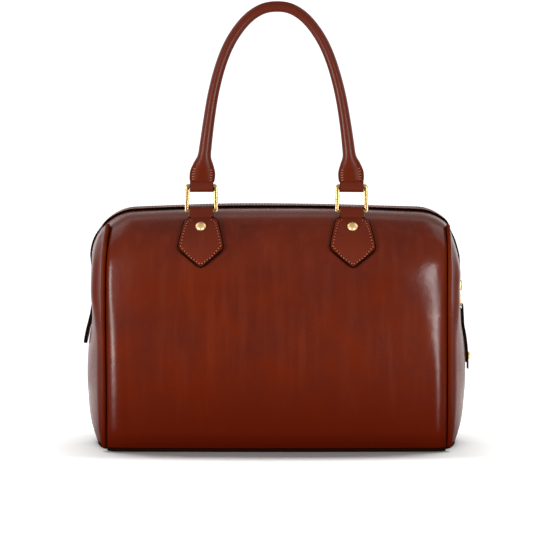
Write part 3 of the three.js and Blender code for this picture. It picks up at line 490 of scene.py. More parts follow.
def leather(name, base, light, deep, low, tarnish_and_painted_top_tone, roughness, pore, sheen=SHEEN):
    """Vegetable-tanned leather, waxed: glossy, mottled, faintly streaked upright, with dark painted edges.

    The mottling is 40 mm across, a streak 7 mm by 70 mm and a soft crease 12 mm. Pores are drawn about 1 mm
    apart, coarser than real ones, so that they show.
    """
    material, tree, shader = new_material(name, IOR=1.45)
    place = add_node(tree, "TexCoord", {}).outputs["Object"]
    mottle = add_node(tree, "TexNoise", {"Vector": place, "Scale": 1 / 0.04, "Detail": 7.0,
                                         "Roughness": 0.62}).outputs["Fac"]
    patch = add_node(tree, "MapRange", {"Value": mottle, "From Min": 0.36, "From Max": 0.62}).outputs[0]
    stretch = add_node(tree, "Mapping", {"Vector": place, "Scale": (1, 1, 0.1)}).outputs["Vector"]
    streak = add_node(tree, "TexNoise", {"Vector": stretch, "Scale": 1 / 0.007, "Detail": 2.0}).outputs["Fac"]
    faint = add_node(tree, "MapRange", {"Value": streak, "From Min": 0.48, "From Max": 0.75,
                                        "To Max": 0.25}).outputs[0]
    height = add_node(tree, "SeparateXYZ", {"Vector": place}).outputs["Z"]
    lowness = add_node(tree, "MapRange", {"Value": height, "From Min": 0.1, "From Max": 0.0},
                       interpolation_type="SMOOTHSTEP").outputs[0]
    # Above the shoulder's height the colour turns to the top tone: painted light, lighter on the walls' top
    # where light falls, a little darker on the straps.
    painted_top_tone_share = add_node(tree, "MapRange", {"Value": height, "From Min": 0.186, "From Max": 0.201,
                                           "To Max": 0.9}, interpolation_type="SMOOTHSTEP").outputs[0]
    # The paint attribute also carries painted shade: the dark edge colour in the side walls' creases, and
    # over the base.
    paint = add_node(tree, "Attribute", {}, attribute_name="edge_paint_and_painted_shade").outputs["Fac"]
    painted = add_node(tree, "MapRange", {"Value": paint, "From Min": 0.4, "From Max": 0.6}).outputs[0]
    colour = linear(deep)
    layers = ((patch, base), (faint, light), (lowness, low), (painted_top_tone_share, tarnish_and_painted_top_tone), (painted, EDGE_PAINT_AND_SHADE_COLOUR))
    for share, tone in layers:
        blend = add_node(tree, "Mix", {"Factor": share, 6: colour, 7: linear(tone)}, data_type="RGBA")
        colour = blend.outputs[2]
    shine = add_node(tree, "MapRange", {"Value": mottle, "From Min": 0.3, "From Max": 0.7,
                                        "To Min": roughness + 0.07, "To Max": roughness - 0.05}).outputs[0]
    pores = add_node(tree, "TexVoronoi", {"Vector": place, "Scale": 1 / pore}).outputs["Distance"]
    crease = add_node(tree, "TexNoise", {"Vector": place, "Scale": 1 / 0.012, "Detail": 3.0,
                                         "Distortion": 0.6}).outputs["Fac"]
    slow = add_node(tree, "Bump", {"Strength": 0.2, "Distance": 0.0012, "Height": crease}).outputs["Normal"]
    grain = add_node(tree, "Bump", {"Strength": 0.07, "Distance": 0.0002, "Height": pores, "Normal": slow})
    matt = add_node(tree, "MapRange", {"Value": paint, "From Max": DULL_MARK}).outputs[0]
    dulled = add_node(tree, "Math", {0: matt, 1: lowness}, operation="MAXIMUM").outputs[0]
    gloss = add_node(tree, "MapRange", {"Value": dulled, "To Min": sheen, "To Max": 0.0}).outputs[0]
    tree.links.new(gloss, shader.inputs["Specular IOR Level"])
    tree.links.new(colour, shader.inputs["Base Color"])
    tree.links.new(shine, shader.inputs["Roughness"])
    tree.links.new(grain.outputs["Normal"], shader.inputs["Normal"])
    return material


def brass_finish(name, bright, tarnish_and_painted_top_tone, roughness):
    """Polished brass: a pale warm metal, with faint tarnish 4 mm across and fine wear in its shine.

    The wear is drawn at 0.6 mm, where real hairlines are finer.
    """
    material, tree, shader = new_material(name, Metallic=1.0)
    place = add_node(tree, "TexCoord", {}).outputs["Object"]
    cloud = add_node(tree, "TexNoise", {"Vector": place, "Scale": 1 / 0.004, "Detail": 3.0}).outputs["Fac"]
    tone = add_node(tree, "Mix", {"Factor": cloud, 6: linear(bright), 7: linear(tarnish_and_painted_top_tone)}, data_type="RGBA")
    hair = add_node(tree, "TexNoise", {"Vector": place, "Scale": 1 / 0.0006, "Detail": 2.0}).outputs["Fac"]
    shine = add_node(tree, "MapRange", {"Value": hair, "To Min": roughness - 0.05,
                                        "To Max": roughness + 0.07}).outputs[0]
    tree.links.new(tone.outputs[2], shader.inputs["Base Color"])
    tree.links.new(shine, shader.inputs["Roughness"])
    return material


def thread_finish(name, light, dark, gloss):
    """Waxed linen thread: a soft sheen on tight, uneven twists, drawn at 0.9 mm so that they show."""
    material, tree, shader = new_material(name, Roughness=0.55, Specular_IOR_Level=gloss)
    place = add_node(tree, "TexCoord", {}).outputs["Object"]
    twist = add_node(tree, "TexNoise", {"Vector": place, "Scale": 1 / 0.0009, "Detail": 1.0}).outputs["Fac"]
    tone = add_node(tree, "Mix", {"Factor": twist, 6: linear(dark), 7: linear(light)}, data_type="RGBA")
    bump = add_node(tree, "Bump", {"Strength": 0.4, "Distance": 0.0001, "Height": twist})
    tree.links.new(tone.outputs[2], shader.inputs["Base Color"])
    tree.links.new(bump.outputs["Normal"], shader.inputs["Normal"])
    return material


def tape_finish(name, light, dark):
    """Woven zip tape: matt ribs across a dark cotton band, drawn at 0.9 mm where real ones are finer."""
    material, tree, shader = new_material(name, Roughness=0.85, Specular_IOR_Level=0.2, Sheen_Weight=0.2)
    place = add_node(tree, "TexCoord", {}).outputs["Object"]
    rib = add_node(tree, "TexWave", {"Vector": place, "Scale": 2 * math.pi / (20 * 0.0009),
                                     "Distortion": 1.0}, bands_direction="DIAGONAL").outputs["Fac"]
    tone = add_node(tree, "Mix", {"Factor": rib, 6: linear(dark), 7: linear(light)}, data_type="RGBA")
    bump = add_node(tree, "Bump", {"Strength": 0.5, "Distance": 0.0002, "Height": rib})
    tree.links.new(tone.outputs[2], shader.inputs["Base Color"])
    tree.links.new(bump.outputs["Normal"], shader.inputs["Normal"])
    return material


# Base, streak, deep, low and top tone of each leather. The low tone is darker towards the bottom; the walls'
# lighter top tone is painted light.
WALL_COLOURS = ("#591a05", "#6a2a16", "#4c1405", "#470f03", "#642410")
STRAP_COLOURS = ("#5c1c07", "#682611", "#521806", "#521806", "#541a07")
DARK_COLOURS = ("#35150d", "#45201a", "#260e09", "#260e09", "#35150d")
# Rubbed piping is duller than the walls, and the polished bands are glossier. Studs are a paler brass than
# the rings: painted light, for their brighter look.
wall_leather = leather("waxed_vegetable_tanned_leather", *WALL_COLOURS, 0.24, 0.0011)
piping_leather = leather("rubbed_piping_leather", *WALL_COLOURS, 0.5, 0.0011, 0.1)
strap_leather = leather("waxed_bridle_leather", *STRAP_COLOURS, 0.35, 0.0009)
band_leather = leather("polished_band_leather", *STRAP_COLOURS, 0.35, 0.0009, 0.55)
dark_leather = leather("dark_bridle_leather", *DARK_COLOURS, 0.4, 0.0009)
brass = brass_finish("polished_brass", "#c2a374", "#b0905f", 0.32)
stud_brass = brass_finish("pale_stud_brass_painted_light", "#f8d79e", "#eec586", 0.42)
teeth_brass = brass_finish("zip_teeth_brass", "#c79a4a", "#9c7434", 0.3)
thread = thread_finish("waxed_linen_thread", "#a85c38", "#824226", 0.3)
# A stitch hole shows as a matt spot of shadow.
hole_finish = thread_finish("stitch_hole_shadow", "#1c0a06", "#120604", 0.0)
tape = tape_finish("cotton_zip_tape", "#43211a", "#2a120d")


# Meshes.
def take(piece):
    """Makes one piece the only selected object, and the active one."""
    bpy.ops.object.select_all(action="DESELECT")
    piece.select_set(True)
    bpy.context.view_layer.objects.active = piece


def started(name, primitive, **settings):
    """Adds a primitive to shape into a piece, with nothing else selected."""
    bpy.ops.object.select_all(action="DESELECT")
    primitive(**settings)
    piece = bpy.context.object
    piece.name = name
    piece.data.name = name
    return piece


def edit(piece):
    """Opens one piece for editing, selected all over."""
    take(piece)
    bpy.ops.object.mode_set(mode="EDIT")
    bpy.ops.mesh.select_all(action="SELECT")


def apply_modifier(piece, kind, **settings):
    take(piece)
    modifier = piece.modifiers.new(kind.lower(), kind)
    for name, value in settings.items():
        setattr(modifier, name, value)
    bpy.ops.object.modifier_apply(modifier=modifier.name)


def smooth(piece, angle=40):
    take(piece)
    bpy.ops.object.shade_smooth_by_angle(angle=math.radians(angle))


def finish(piece, material, slot, *nodes):
    """Gives a piece its material and its body, and hides the CAD parts it stands for. The slot argument is
    not used.
    """
    piece.data.materials.clear()
    piece.data.materials.append(material)
    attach(piece, "root")
    if nodes:
        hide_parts(*nodes)
    return piece


def copied(pattern, name, matrix):
    """A copy with its own mesh, moved by a matrix."""
    copy = pattern.copy()
    copy.data = pattern.data.copy()
    copy.name = name
    copy.data.name = name
    copy.data.transform(matrix)
    bpy.context.collection.objects.link(copy)
    return copy


def side_label(face, side):
    """Which fitting a face's right (1) or left (-1) one is, once the back ones are turned."""
    return f"{face}_right" if (side > 0) == (face == "front") else f"{face}_left"


def sheet(name, columns, rows, place, paint=None, thinning=None, turn=FRONT, settle=settled):
    """A grid laid out by place(p, q), with p and q from 0 to 1. Paint marks edges and painted shade, thinning
    the wall.
    """
    piece = started(name, bpy.ops.mesh.primitive_grid_add, size=1, x_subdivisions=columns,
                    y_subdivisions=rows)
    spots = [(round(v.co.x + 0.5, 6), round(v.co.y + 0.5, 6)) for v in piece.data.vertices]
    if paint:
        marks = piece.data.attributes.new("edge_paint_and_painted_shade", "FLOAT", "POINT")
        for mark, (p, q) in zip(marks.data, spots):
            mark.value = paint(p, q)
    if thinning:
        group = piece.vertex_groups.new(name="wall")
        for i, (p, q) in enumerate(spots):
            group.add([i], thinning(p, q), "REPLACE")
    for vertex, (p, q) in zip(piece.data.vertices, spots):
        vertex.co = settle(turn @ place(p, q)) * MM
    return piece


def walled(piece, thickness, bevel=0.0):
    """Gives a sheet its thickness on the inside, and rounds its edges."""
    group = "wall" if "wall" in piece.vertex_groups else ""
    apply_modifier(piece, "SOLIDIFY", thickness=thickness * MM, offset=-1, vertex_group=group)
    if bevel:
        apply_modifier(piece, "BEVEL", width=bevel * MM, segments=3, angle_limit=math.radians(50))
    smooth(piece)
    return piece


def tube(name, sides, steps, place, paint=None, turn=FRONT, settle=settled):
    """A sheet rolled up and closed at both ends: place(angle, q) goes round for an angle from 0 to 2 pi."""
    piece = sheet(name, sides, steps, lambda p, q: place(2 * math.pi * p, q), paint, turn=turn, settle=settle)
    edit(piece)
    bpy.ops.mesh.remove_doubles(threshold=WELD)
    bpy.ops.mesh.fill_holes(sides=0)
    bpy.ops.mesh.normals_make_consistent(inside=False)
    bpy.ops.object.mode_set(mode="OBJECT")
    smooth(piece)
    return piece


def frame_at(point, along, out, size):
    """Matrix that lays a pattern along one direction, its top facing out, at a size."""
    across = out.cross(along).normalized()
    turn = Matrix((across.cross(out).normalized(), across, out)).transposed().to_4x4()
    return Matrix.Translation(point) @ turn @ Matrix.Diagonal((*size, 1))


def repeated(name, pattern, frames):
    """Copies of one small pattern, joined in one mesh."""
    vertices = []
    faces = []
    for matrix in frames:
        start = len(vertices)
        vertices += [settled(matrix @ vertex.co) * MM for vertex in pattern.data.vertices]
        faces += [[start + i for i in polygon.vertices] for polygon in pattern.data.polygons]
    mesh = bpy.data.meshes.new(name)
    mesh.from_pydata(vertices, [], faces)
    piece = bpy.data.objects.new(name, mesh)
    bpy.context.collection.objects.link(piece)
    bpy.data.objects.remove(pattern)
    smooth(piece, 60)
    return piece


def thread_pattern():
    """One stitch, or the hole beside it: a small round lozenge of unit size."""
    return started("thread_pattern", bpy.ops.mesh.primitive_uv_sphere_add, segments=8, ring_count=5,
                   radius=0.5)


def stitch_rows(name, places, slant=0.0, pierced=True):
    """A row of stitches, with a hole between each two, at points with their directions along and out."""
    stitches = []
    holes = []
    for point, along, out in places:
        slanted = along + out.cross(along) * slant
        stitches.append(frame_at(point, slanted, out, (STITCH_LENGTH, STITCH_WIDTH, 2 * STITCH_RISE)))
        between = point + along * STITCH_PITCH / 2
        holes.append(frame_at(between, along, out, (STITCH_HOLE, STITCH_HOLE, STITCH_RISE)))
    sewn = repeated(name + "_thread", thread_pattern(), stitches)
    finish(sewn, thread, "leather")
    if pierced:
        finish(repeated(name + "_holes", thread_pattern(), holes), hole_finish, "dark_leather")


def evenly(line, pitch):
    """Places at an even pitch along a line of points, each with its direction along."""
    spots = []
    carried = pitch / 2
    for before, after in zip(line, line[1:]):
        step = after - before
        length = step.length
        while carried <= length:
            spots.append((before + step * (carried / length), step.normalized()))
            carried += pitch
        carried -= length
    return spots


# Front and back walls.
FLAT_SHARE = 0.7         # of the columns, between the rolls beside the seams
LOW_SHARE = 0.36         # of the rows, below the shoulder
ROLL_END = 0.998         # of a quarter turn's sine, just short of the seam
SIDE_END = 0.987         # of a side's width, short of the seam


def panel_x(p, t):
    half = 2 * p - 1
    f = abs(half)
    flat = SEAM_HALF_WIDTH - EDGE_ROLL_WIDTH
    if f < FLAT_SHARE:
        return math.copysign(flat * f / FLAT_SHARE, half)
    end = math.asin(mix(ROLL_END, 1, seam_closed(t)))
    turn = (f - FLAT_SHARE) / (1 - FLAT_SHARE) * end
    return math.copysign(flat + EDGE_ROLL_WIDTH * math.sin(turn), half)


def panel_t(q):
    if q < LOW_SHARE:
        return SHOULDER_START * (q / LOW_SHARE) ** 1.4
    return mix(SHOULDER_START, 1, (q - LOW_SHARE) / (1 - LOW_SHARE))


def panel_point(p, q):
    t = panel_t(q)
    return wall_point(panel_x(p, t), t)


def dull_crease(p, q):
    return DULL_MARK * smoothstep(0.88, 0.96, abs(2 * p - 1)) * (1 - seam_closed(panel_t(q)))


def front_and_back_walls():
    for face, turn in FACES:
        wall = sheet(f"{face}_leather", 110, 100, panel_point, dull_crease, turn=turn)
        walled(wall, LEATHER)
        finish(wall, wall_leather, "leather", f"{face}_panel")


# Side walls, slit for the zip.
def slit_for_zip(piece):
    end = (ZIP_END_HEIGHT - 1) * MM
    edit(piece)
    for y in (-ZIP_HALF_SLOT, ZIP_HALF_SLOT):
        bpy.ops.mesh.select_all(action="SELECT")
        bpy.ops.mesh.bisect(plane_co=(0, y * MM, 0), plane_no=(0, 1, 0))
    bpy.ops.mesh.select_all(action="SELECT")
    bpy.ops.mesh.bisect(plane_co=(0, 0, end), plane_no=(0, 0, 1))
    bpy.ops.mesh.select_all(action="DESELECT")
    bpy.ops.object.mode_set(mode="OBJECT")
    for face in piece.data.polygons:
        face.select = abs(face.center.y) < ZIP_HALF_SLOT * MM and face.center.z > end
    bpy.ops.object.mode_set(mode="EDIT")
    bpy.ops.mesh.select_mode(type="FACE")
    bpy.ops.mesh.delete(type="FACE")
    bpy.ops.mesh.select_mode(type="VERT")
    bpy.ops.object.mode_set(mode="OBJECT")


def side_walls():
    def place(p, q):
        reach = mix(SIDE_END, 1, seam_closed(gusset_section(q)[2]))
        return gusset_point(0.5 + (p - 0.5) * reach, q)

    # The side's edge behind the piping takes the dark edge colour where the piping parts it from the front:
    # painted shade in the crease.
    def painted_crease_shade(p, q):
        return smoothstep(0.95, 1, abs(2 * p - 1)) * (1 - seam_closed(gusset_section(q)[2]))

    for name, turn in (("right", FRONT), ("left", HALF_TURN)):
        side = sheet(f"side_leather_{name}", 72, 80, place, painted_crease_shade, turn=turn)
        slit_for_zip(side)
        walled(side, LEATHER)
        finish(side, wall_leather, "leather", f"side_gusset_{name}")


# Base, a thick flat piece with rounded edges.
def base():
    half = [wall_point(panel_x(i / 40, 0), 0) for i in range(41)]
    half += [gusset_point(i / 16, 0) for i in range(1, 16)]
    outline = [Vector((p.x, p.y, 0)) * (1 - BASE_INSET / math.hypot(p.x, p.y)) for p in half]
    outline += [-point for point in outline]
    piece = started("base_leather", bpy.ops.mesh.primitive_circle_add, vertices=len(outline),
                    fill_type="NGON")
    for vertex, point in zip(piece.data.vertices, outline):
        vertex.co = point * MM
    edit(piece)
    bpy.ops.mesh.extrude_region_move(TRANSFORM_OT_translate={"value": (0, 0, BASE_THICKNESS * MM)})
    bpy.ops.mesh.select_all(action="SELECT")
    bpy.ops.mesh.normals_make_consistent(inside=False)
    bpy.ops.object.mode_set(mode="OBJECT")
    apply_modifier(piece, "BEVEL", width=BASE_EDGE * MM, segments=2, angle_limit=math.radians(60))
    smooth(piece)
    # The whole base takes the dark edge colour with no gloss: partly its painted cut edge, partly painted
    # shade under the bag.
    marks = piece.data.attributes.new("edge_paint_and_painted_shade", "FLOAT", "POINT")
    for mark in marks.data:
        mark.value = 1
    finish(piece, dark_leather, "leather", "base_panel")


# Piping: a covered cord in each upright seam, round at its upper tip.
@lru_cache(maxsize=None)
def piping_centre(t):
    out = wall_out(SEAM_HALF_WIDTH - EDGE_ROLL_WIDTH * 0.015, t)
    centre = wall_point(SEAM_HALF_WIDTH, t) + out * (PIPING_RADIUS + PIPING_LIFT)
    return centre, out, wall_upwards(SEAM_HALF_WIDTH, t)


def piping():
    tip = 0.02

    def right_place(turn, q):
        t = mix(PIPING_FOOT, piping_top, q)
        centre, out, upright = piping_centre(t)
        nearing = max(0, (t - piping_top + tip) / tip)
        radius = PIPING_RADIUS * math.sqrt(max(0.01, 1 - nearing ** 2))
        side = upright.cross(out)
        sink = out * (PIPING_RADIUS - radius)
        return centre - sink + out * radius * math.cos(turn) + side * radius * math.sin(turn)

    def left_place(turn, q):
        point = right_place(-turn, q)
        return Vector((-point.x, point.y, point.z))

    def dull_flank(p, q):
        return DULL_MARK * smoothstep(0.75, 0.4, math.cos(2 * math.pi * p))

    for face, turn in FACES:
        for side, place in ((1, right_place), (-1, left_place)):
            label = side_label(face, side)
            cord = tube(f"piping_{label}_leather", 20, 150, place, dull_flank, turn)
            finish(cord, piping_leather, "leather", f"piping_{label}")


# Zip bands: raw-edged strips with painted edges and a row of stitches beside each edge.
def strip_distance(q):
    return mix(-zip_half_length, zip_half_length, q)


def zip_bands():
    width = BAND_OUTER - BAND_INNER

    def across(p):
        return width * (1 - math.cos(math.pi * p)) / 2

    def rim(p):
        return min(across(p), width - across(p))

    def place(p, q):
        bend = max(0, 1 - rim(p) / BAND_EDGE)
        lift = GAP + BAND_THICKNESS - BAND_EDGE_DROP * (1 - math.sqrt(1 - bend * bend))
        return strip_place(-BAND_INNER - across(p), strip_distance(q), lift)[0]

    def paint(p, q):
        return 1 if rim(p) < BAND_PAINT_WIDTH else 0

    for face, turn in FACES:
        band = sheet(f"zip_band_{face}_leather", 20, 260, place, paint, turn=turn)
        walled(band, BAND_THICKNESS + GAP)
        finish(band, band_leather, "leather", f"zip_band_{face}")
    places = []
    for side in (-1, 1):
        for y in (BAND_INNER + BAND_STITCH_INSET, BAND_OUTER - BAND_STITCH_INSET):
            steps = int(2 * zip_half_length / STITCH_PITCH)
            for i in range(1, steps):
                distance = -zip_half_length + (i + 0.5) * STITCH_PITCH
                point, out = strip_place(side * y, distance, GAP + BAND_THICKNESS)
                places.append((point, ridge_along(distance), out))
    stitch_rows("zip_band_stitches", places, BAND_STITCH_SLANT, pierced=False)


# The closed zip: a woven tape and two rows of teeth.
def tooth_pattern():
    pattern = started("tooth_pattern", bpy.ops.mesh.primitive_cube_add, size=1)
    apply_modifier(pattern, "BEVEL", width=0.16, segments=1)
    return pattern


def zip_chain():
    half = ZIP_HALF_SLOT - GAP

    def place(p, q):
        return strip_place(mix(half, -half, p), strip_distance(q), -TAPE_SINK)[0]

    band = sheet("zip_tape", 8, 260, place)
    walled(band, TAPE_THICKNESS)
    finish(band, tape, "zip_tape", "zip_chain")
    frames = []
    count = int(2 * zip_half_length / TOOTH_PITCH)
    for i in range(count):
        for side in (-1, 1):
            distance = -zip_half_length + (i + 0.5 + side * 0.25) * TOOTH_PITCH
            point, out = strip_place(side * TOOTH_ASIDE, distance, TOOTH_LIFT)
            frames.append(frame_at(point, ridge_along(distance), out, TOOTH_SIZE))
    teeth = repeated("zip_teeth", tooth_pattern(), frames)
    finish(teeth, teeth_brass, "brass")


# Left end of the zip: a dark tab lying on the side wall, its tip standing off.
def gusset_row_at_height(height):
    q = 0
    while gusset_point(0.5, q).z < height:
        q += 0.001
    return q


def end_tab():
    top = gusset_row_at_height(TAB_TOP_HEIGHT)
    tip = gusset_row_at_height(TAB_TIP_HEIGHT)

    def place(p, q):
        bend = max(0, (q - 0.75) / 0.25)
        round_tip = max(0.08, math.sqrt(1 - bend * bend))
        y = math.sin((p - 0.5) * math.pi) * TAB_HALF_WIDTH * round_tip
        row = mix(top, tip, q)
        seam = gusset_section(row)[0]
        beside = 0.5 - y / seam.y / 2
        lift = 2 * GAP + TAB_THICKNESS + TAB_TIP_LIFT * q * q
        return HALF_TURN @ (gusset_point(beside, row) + gusset_out(beside, row) * lift)

    def paint(p, q):
        return 1 if min(p, 1 - p, q, 1 - q) < 0.06 else 0

    tab = sheet("zip_end_tab_leather", 18, 40, lambda p, q: place(1 - p, q), paint)
    walled(tab, TAB_THICKNESS, TAB_EDGE)
    finish(tab, dark_leather, "dark_leather", "zip_end_tab_left")


# Brass fittings.
def frame_outline(foot, top, low, high, corner):
    """Half widths and heights to points round a frame, closed, with round corners."""
    points = []
    for i in range(36):
        angle = math.radians((i // 9) * 90 + (i % 9) * 90 / 8)
        upper = i < 18
        centre_x = math.copysign((top if upper else foot) - corner, 1 if i < 9 or i >= 27 else -1)
        centre_z = high - corner if upper else low + corner
        points.append(Vector((centre_x + corner * math.cos(angle), 0, centre_z + corner * math.sin(angle))))
    return points + points[:1]


def rounded_frame(name, foot, top, low, high, corner, bar, depth):
    """A metal frame standing in the XZ plane: a flat bar with well-eased edges, bent round four corners."""
    outer = frame_outline(foot, top, low, high, corner)
    inner = frame_outline(foot - bar, top - bar, low + bar, high - bar, 0.25 * corner)
    last = len(outer) - 1

    def eased(share):
        return math.copysign(abs(share) ** 0.6, share)

    def place(turn, q):
        i = round(q * last)
        across = mix(inner[i], outer[i], (1 + eased(math.cos(turn))) / 2)
        return across + BACK * eased(math.sin(turn)) * depth / 2

    return tube(name, 24, last, place, settle=unchanged)


def stud_dome(name, radius, height):
    """A domed stud standing on the plane z = 0: half a ball, flattened, above a low round rim."""
    rim = STUD_RIM_SHARE * height
    piece = started(name, bpy.ops.mesh.primitive_uv_sphere_add, segments=40, ring_count=20, radius=1)
    edit(piece)
    bpy.ops.mesh.bisect(plane_co=(0, 0, 0), plane_no=(0, 0, 1), clear_inner=True, use_fill=True)
    bpy.ops.mesh.select_all(action="SELECT")
    size = Vector((radius, radius, height - rim)) * MM
    bpy.ops.transform.resize(value=size, center_override=(0, 0, 0))
    bpy.ops.transform.translate(value=(0, 0, rim * MM))
    bpy.ops.object.mode_set(mode="OBJECT")
    started(name + "_rim", bpy.ops.mesh.primitive_torus_add, major_radius=(radius - rim) * MM,
            minor_radius=rim * MM, major_segments=40, minor_segments=10, location=(0, 0, rim * MM))
    bpy.ops.object.transform_apply(location=True)
    piece.select_set(True)
    bpy.context.view_layer.objects.active = piece
    bpy.ops.object.join()
    smooth(piece, 50)
    return piece


def seat(point, out, turn=FRONT):
    """Matrix that puts a fitting modelled on the plane z = 0 on the bag, facing out."""
    facing = UP.rotation_difference(turn.to_3x3() @ out).to_matrix().to_4x4()
    return Matrix.Translation(settled(turn @ point) * MM) @ facing


slider_foot = side_reach(SLIDER_HEIGHT) + CHAIN_RISE + 2 * GAP
bail_x = slider_foot + SLIDER_RISE - BAIL_BAR / 2
pull_radius = BAIL_BAR / 2 + GAP + PULL_LAYER


def zip_slider():
    body = started("zip_slider_brass", bpy.ops.mesh.primitive_cube_add, size=1)
    size = Vector((SLIDER_RISE, SLIDER_WIDTH, SLIDER_LENGTH)) * MM
    middle = Vector((slider_foot + SLIDER_RISE / 2, 0, SLIDER_HEIGHT)) * MM
    for vertex in body.data.vertices:
        vertex.co = middle + Matrix.Diagonal(size) @ vertex.co
    apply_modifier(body, "BEVEL", width=SLIDER_EDGE * MM, segments=4)
    smooth(body)
    length = SLIDER_HEIGHT - BAIL_FOOT_HEIGHT + BAIL_BAR
    half = BAIL_WIDTH / 2
    bail = rounded_frame("zip_bail_brass", half, half, -length / 2, length / 2, BAIL_CORNER, BAIL_BAR,
                         BAIL_BAR)
    angle = math.radians(BAIL_LEAN)
    height = SLIDER_HEIGHT + (BAIL_BAR - length) / 2
    centre = Vector((bail_x - math.sin(angle) * length / 2, 0, height)) * MM
    lean = Matrix.Rotation(-angle, 4, "Y")
    bail.data.transform(Matrix.Translation(centre) @ lean @ Matrix.Rotation(math.pi / 2, 4, "Z"))
    finish(body, brass, "brass", "zip_slider")
    finish(bail, brass, "brass")


# The pull: one strip of leather folded round the bail's lower bar, both layers hanging over the side wall.
def pull_face(height):
    return side_reach(height) + PULL_STANDOFF


def pull_outer(height):
    """Reach of the outer face: straight down from the bail, then lying on the side wall."""
    hanging = bail_x + pull_radius + (BAIL_FOOT_HEIGHT - height) * PULL_SLOPE
    return max(hanging, pull_face(height) + 2 * PULL_LAYER + GAP)


def pull_path():
    fold = BAIL_FOOT_HEIGHT - PULL_FOLD_DROP
    inner = [mix(PULL_INNER_TIP, fold, i / 14) for i in range(15)]
    outer = [mix(fold, PULL_OUTER_TIP, i / 16) for i in range(17)]
    path = [Vector((pull_outer(z) - 2 * PULL_LAYER - GAP, 0, z)) for z in inner]
    for i in range(13):
        turn = math.pi * (1 - i / 12)
        around = RIGHT * math.cos(turn) + UP * math.sin(turn)
        path.append(Vector((bail_x, 0, BAIL_FOOT_HEIGHT)) + around * pull_radius)
    path += [Vector((pull_outer(max(z, PULL_INNER_TIP)), 0, z)) for z in outer]
    return path


def zip_pull():
    path = pull_path()
    last = len(path) - 1

    def place(p, q):
        y = -math.sin((p - 0.5) * math.pi) * PULL_HALF_WIDTH
        return path[round(q * last)] + BACK * y

    pull = sheet("zip_pull_leather", 12, last, place, paint=lambda p, q: 1 if min(p, 1 - p) < 0.1 else 0)
    walled(pull, PULL_LAYER, STRIP_EDGE)
    finish(pull, dark_leather, "dark_leather", "zip_pull")
    stud = stud_dome("zip_pull_stud_brass", PULL_STUD_RADIUS, PULL_STUD_RISE)
    foot = Vector((pull_outer(PULL_STUD_HEIGHT) - STUD_SINK, 0, PULL_STUD_HEIGHT))
    stud.data.transform(seat(foot, RIGHT))
    finish(stud, stud_brass, "brass", "zip_pull_stud")


# Chapes: pointed tabs draped over the shoulder, each folded over at the top into a loop round a ring.
def loop_centre(slide):
    """Middle of the loop round a ring's lower bar, for fittings that have slid down the leather."""
    centre, _ = fitting_place(HANDLE_HALF_SPACING, LOOP_ARC + slide, 0, GAP + LOOP_RADIUS)
    return Vector((0, centre.y, centre.z))


chape_top = GAP + CHAPE_THICKNESS
TAB_ROWS = 84
CHAPE_EDGE = 1.9         # width of the rounded, painted edge
CHAPE_EDGE_DROP = 1.5
LOOP_EDGE_DROP = 0.4


def chape_half_width(arc):
    """Half width of a tab, with the corners of its outline eased."""
    if arc < CHAPE_OUTLINE[0][0]:
        return LOOP_HALF_WIDTH
    ease = mix(0.7, 3.2, smoothstep(78, 88, arc)) * (1 - smoothstep(92, 97, arc)) + 0.2
    near = [straight_value(CHAPE_OUTLINE, arc + ease * (k / 4 - 1)) for k in range(9)]
    left = CHAPE_OUTLINE[-1][0] - arc
    return sum(near) / len(near) * math.sqrt(min(1, max(0.02, left / 1.6)))


def outline_distance(aside, arc):
    """How far a place on a tab lies inside its outline."""
    place = Vector((abs(aside), arc))
    corners = [Vector((width, along)) for along, width in CHAPE_OUTLINE] + [Vector((0, CHAPE_OUTLINE[-1][0]))]
    nearest = LOOP_HALF_WIDTH
    for before, after in zip(corners, corners[1:]):
        step = after - before
        f = min(max((place - before).dot(step) / step.length_squared, 0), 1)
        nearest = min(nearest, (before + step * f - place).length)
    return nearest


def chape_path():
    """Distance from the zip line and height off the wall, from a tab's tip up and round the bar."""
    tip, shoulder = CHAPE_OUTLINE[-1][0], CHAPE_OUTLINE[0][0]
    path = [(mix(tip, shoulder, i / TAB_ROWS), chape_top) for i in range(TAB_ROWS + 1)]
    path += [(LOOP_ARC - u, h) for u, h in ((-7.4, 3.85), (-6.2, 4.6), (-5, 5.5), (-3.8, 6.45))]
    for i in range(22):
        turn = math.radians(mix(130, -85, i / 21))
        path.append((LOOP_ARC - LOOP_RADIUS * math.cos(turn), GAP + LOOP_RADIUS * (1 + math.sin(turn))))
    path += [(LOOP_ARC + u, GAP + LOOP_WALL * f) for u, f in ((1.5, 0.05), (4, 0.2))]
    return path


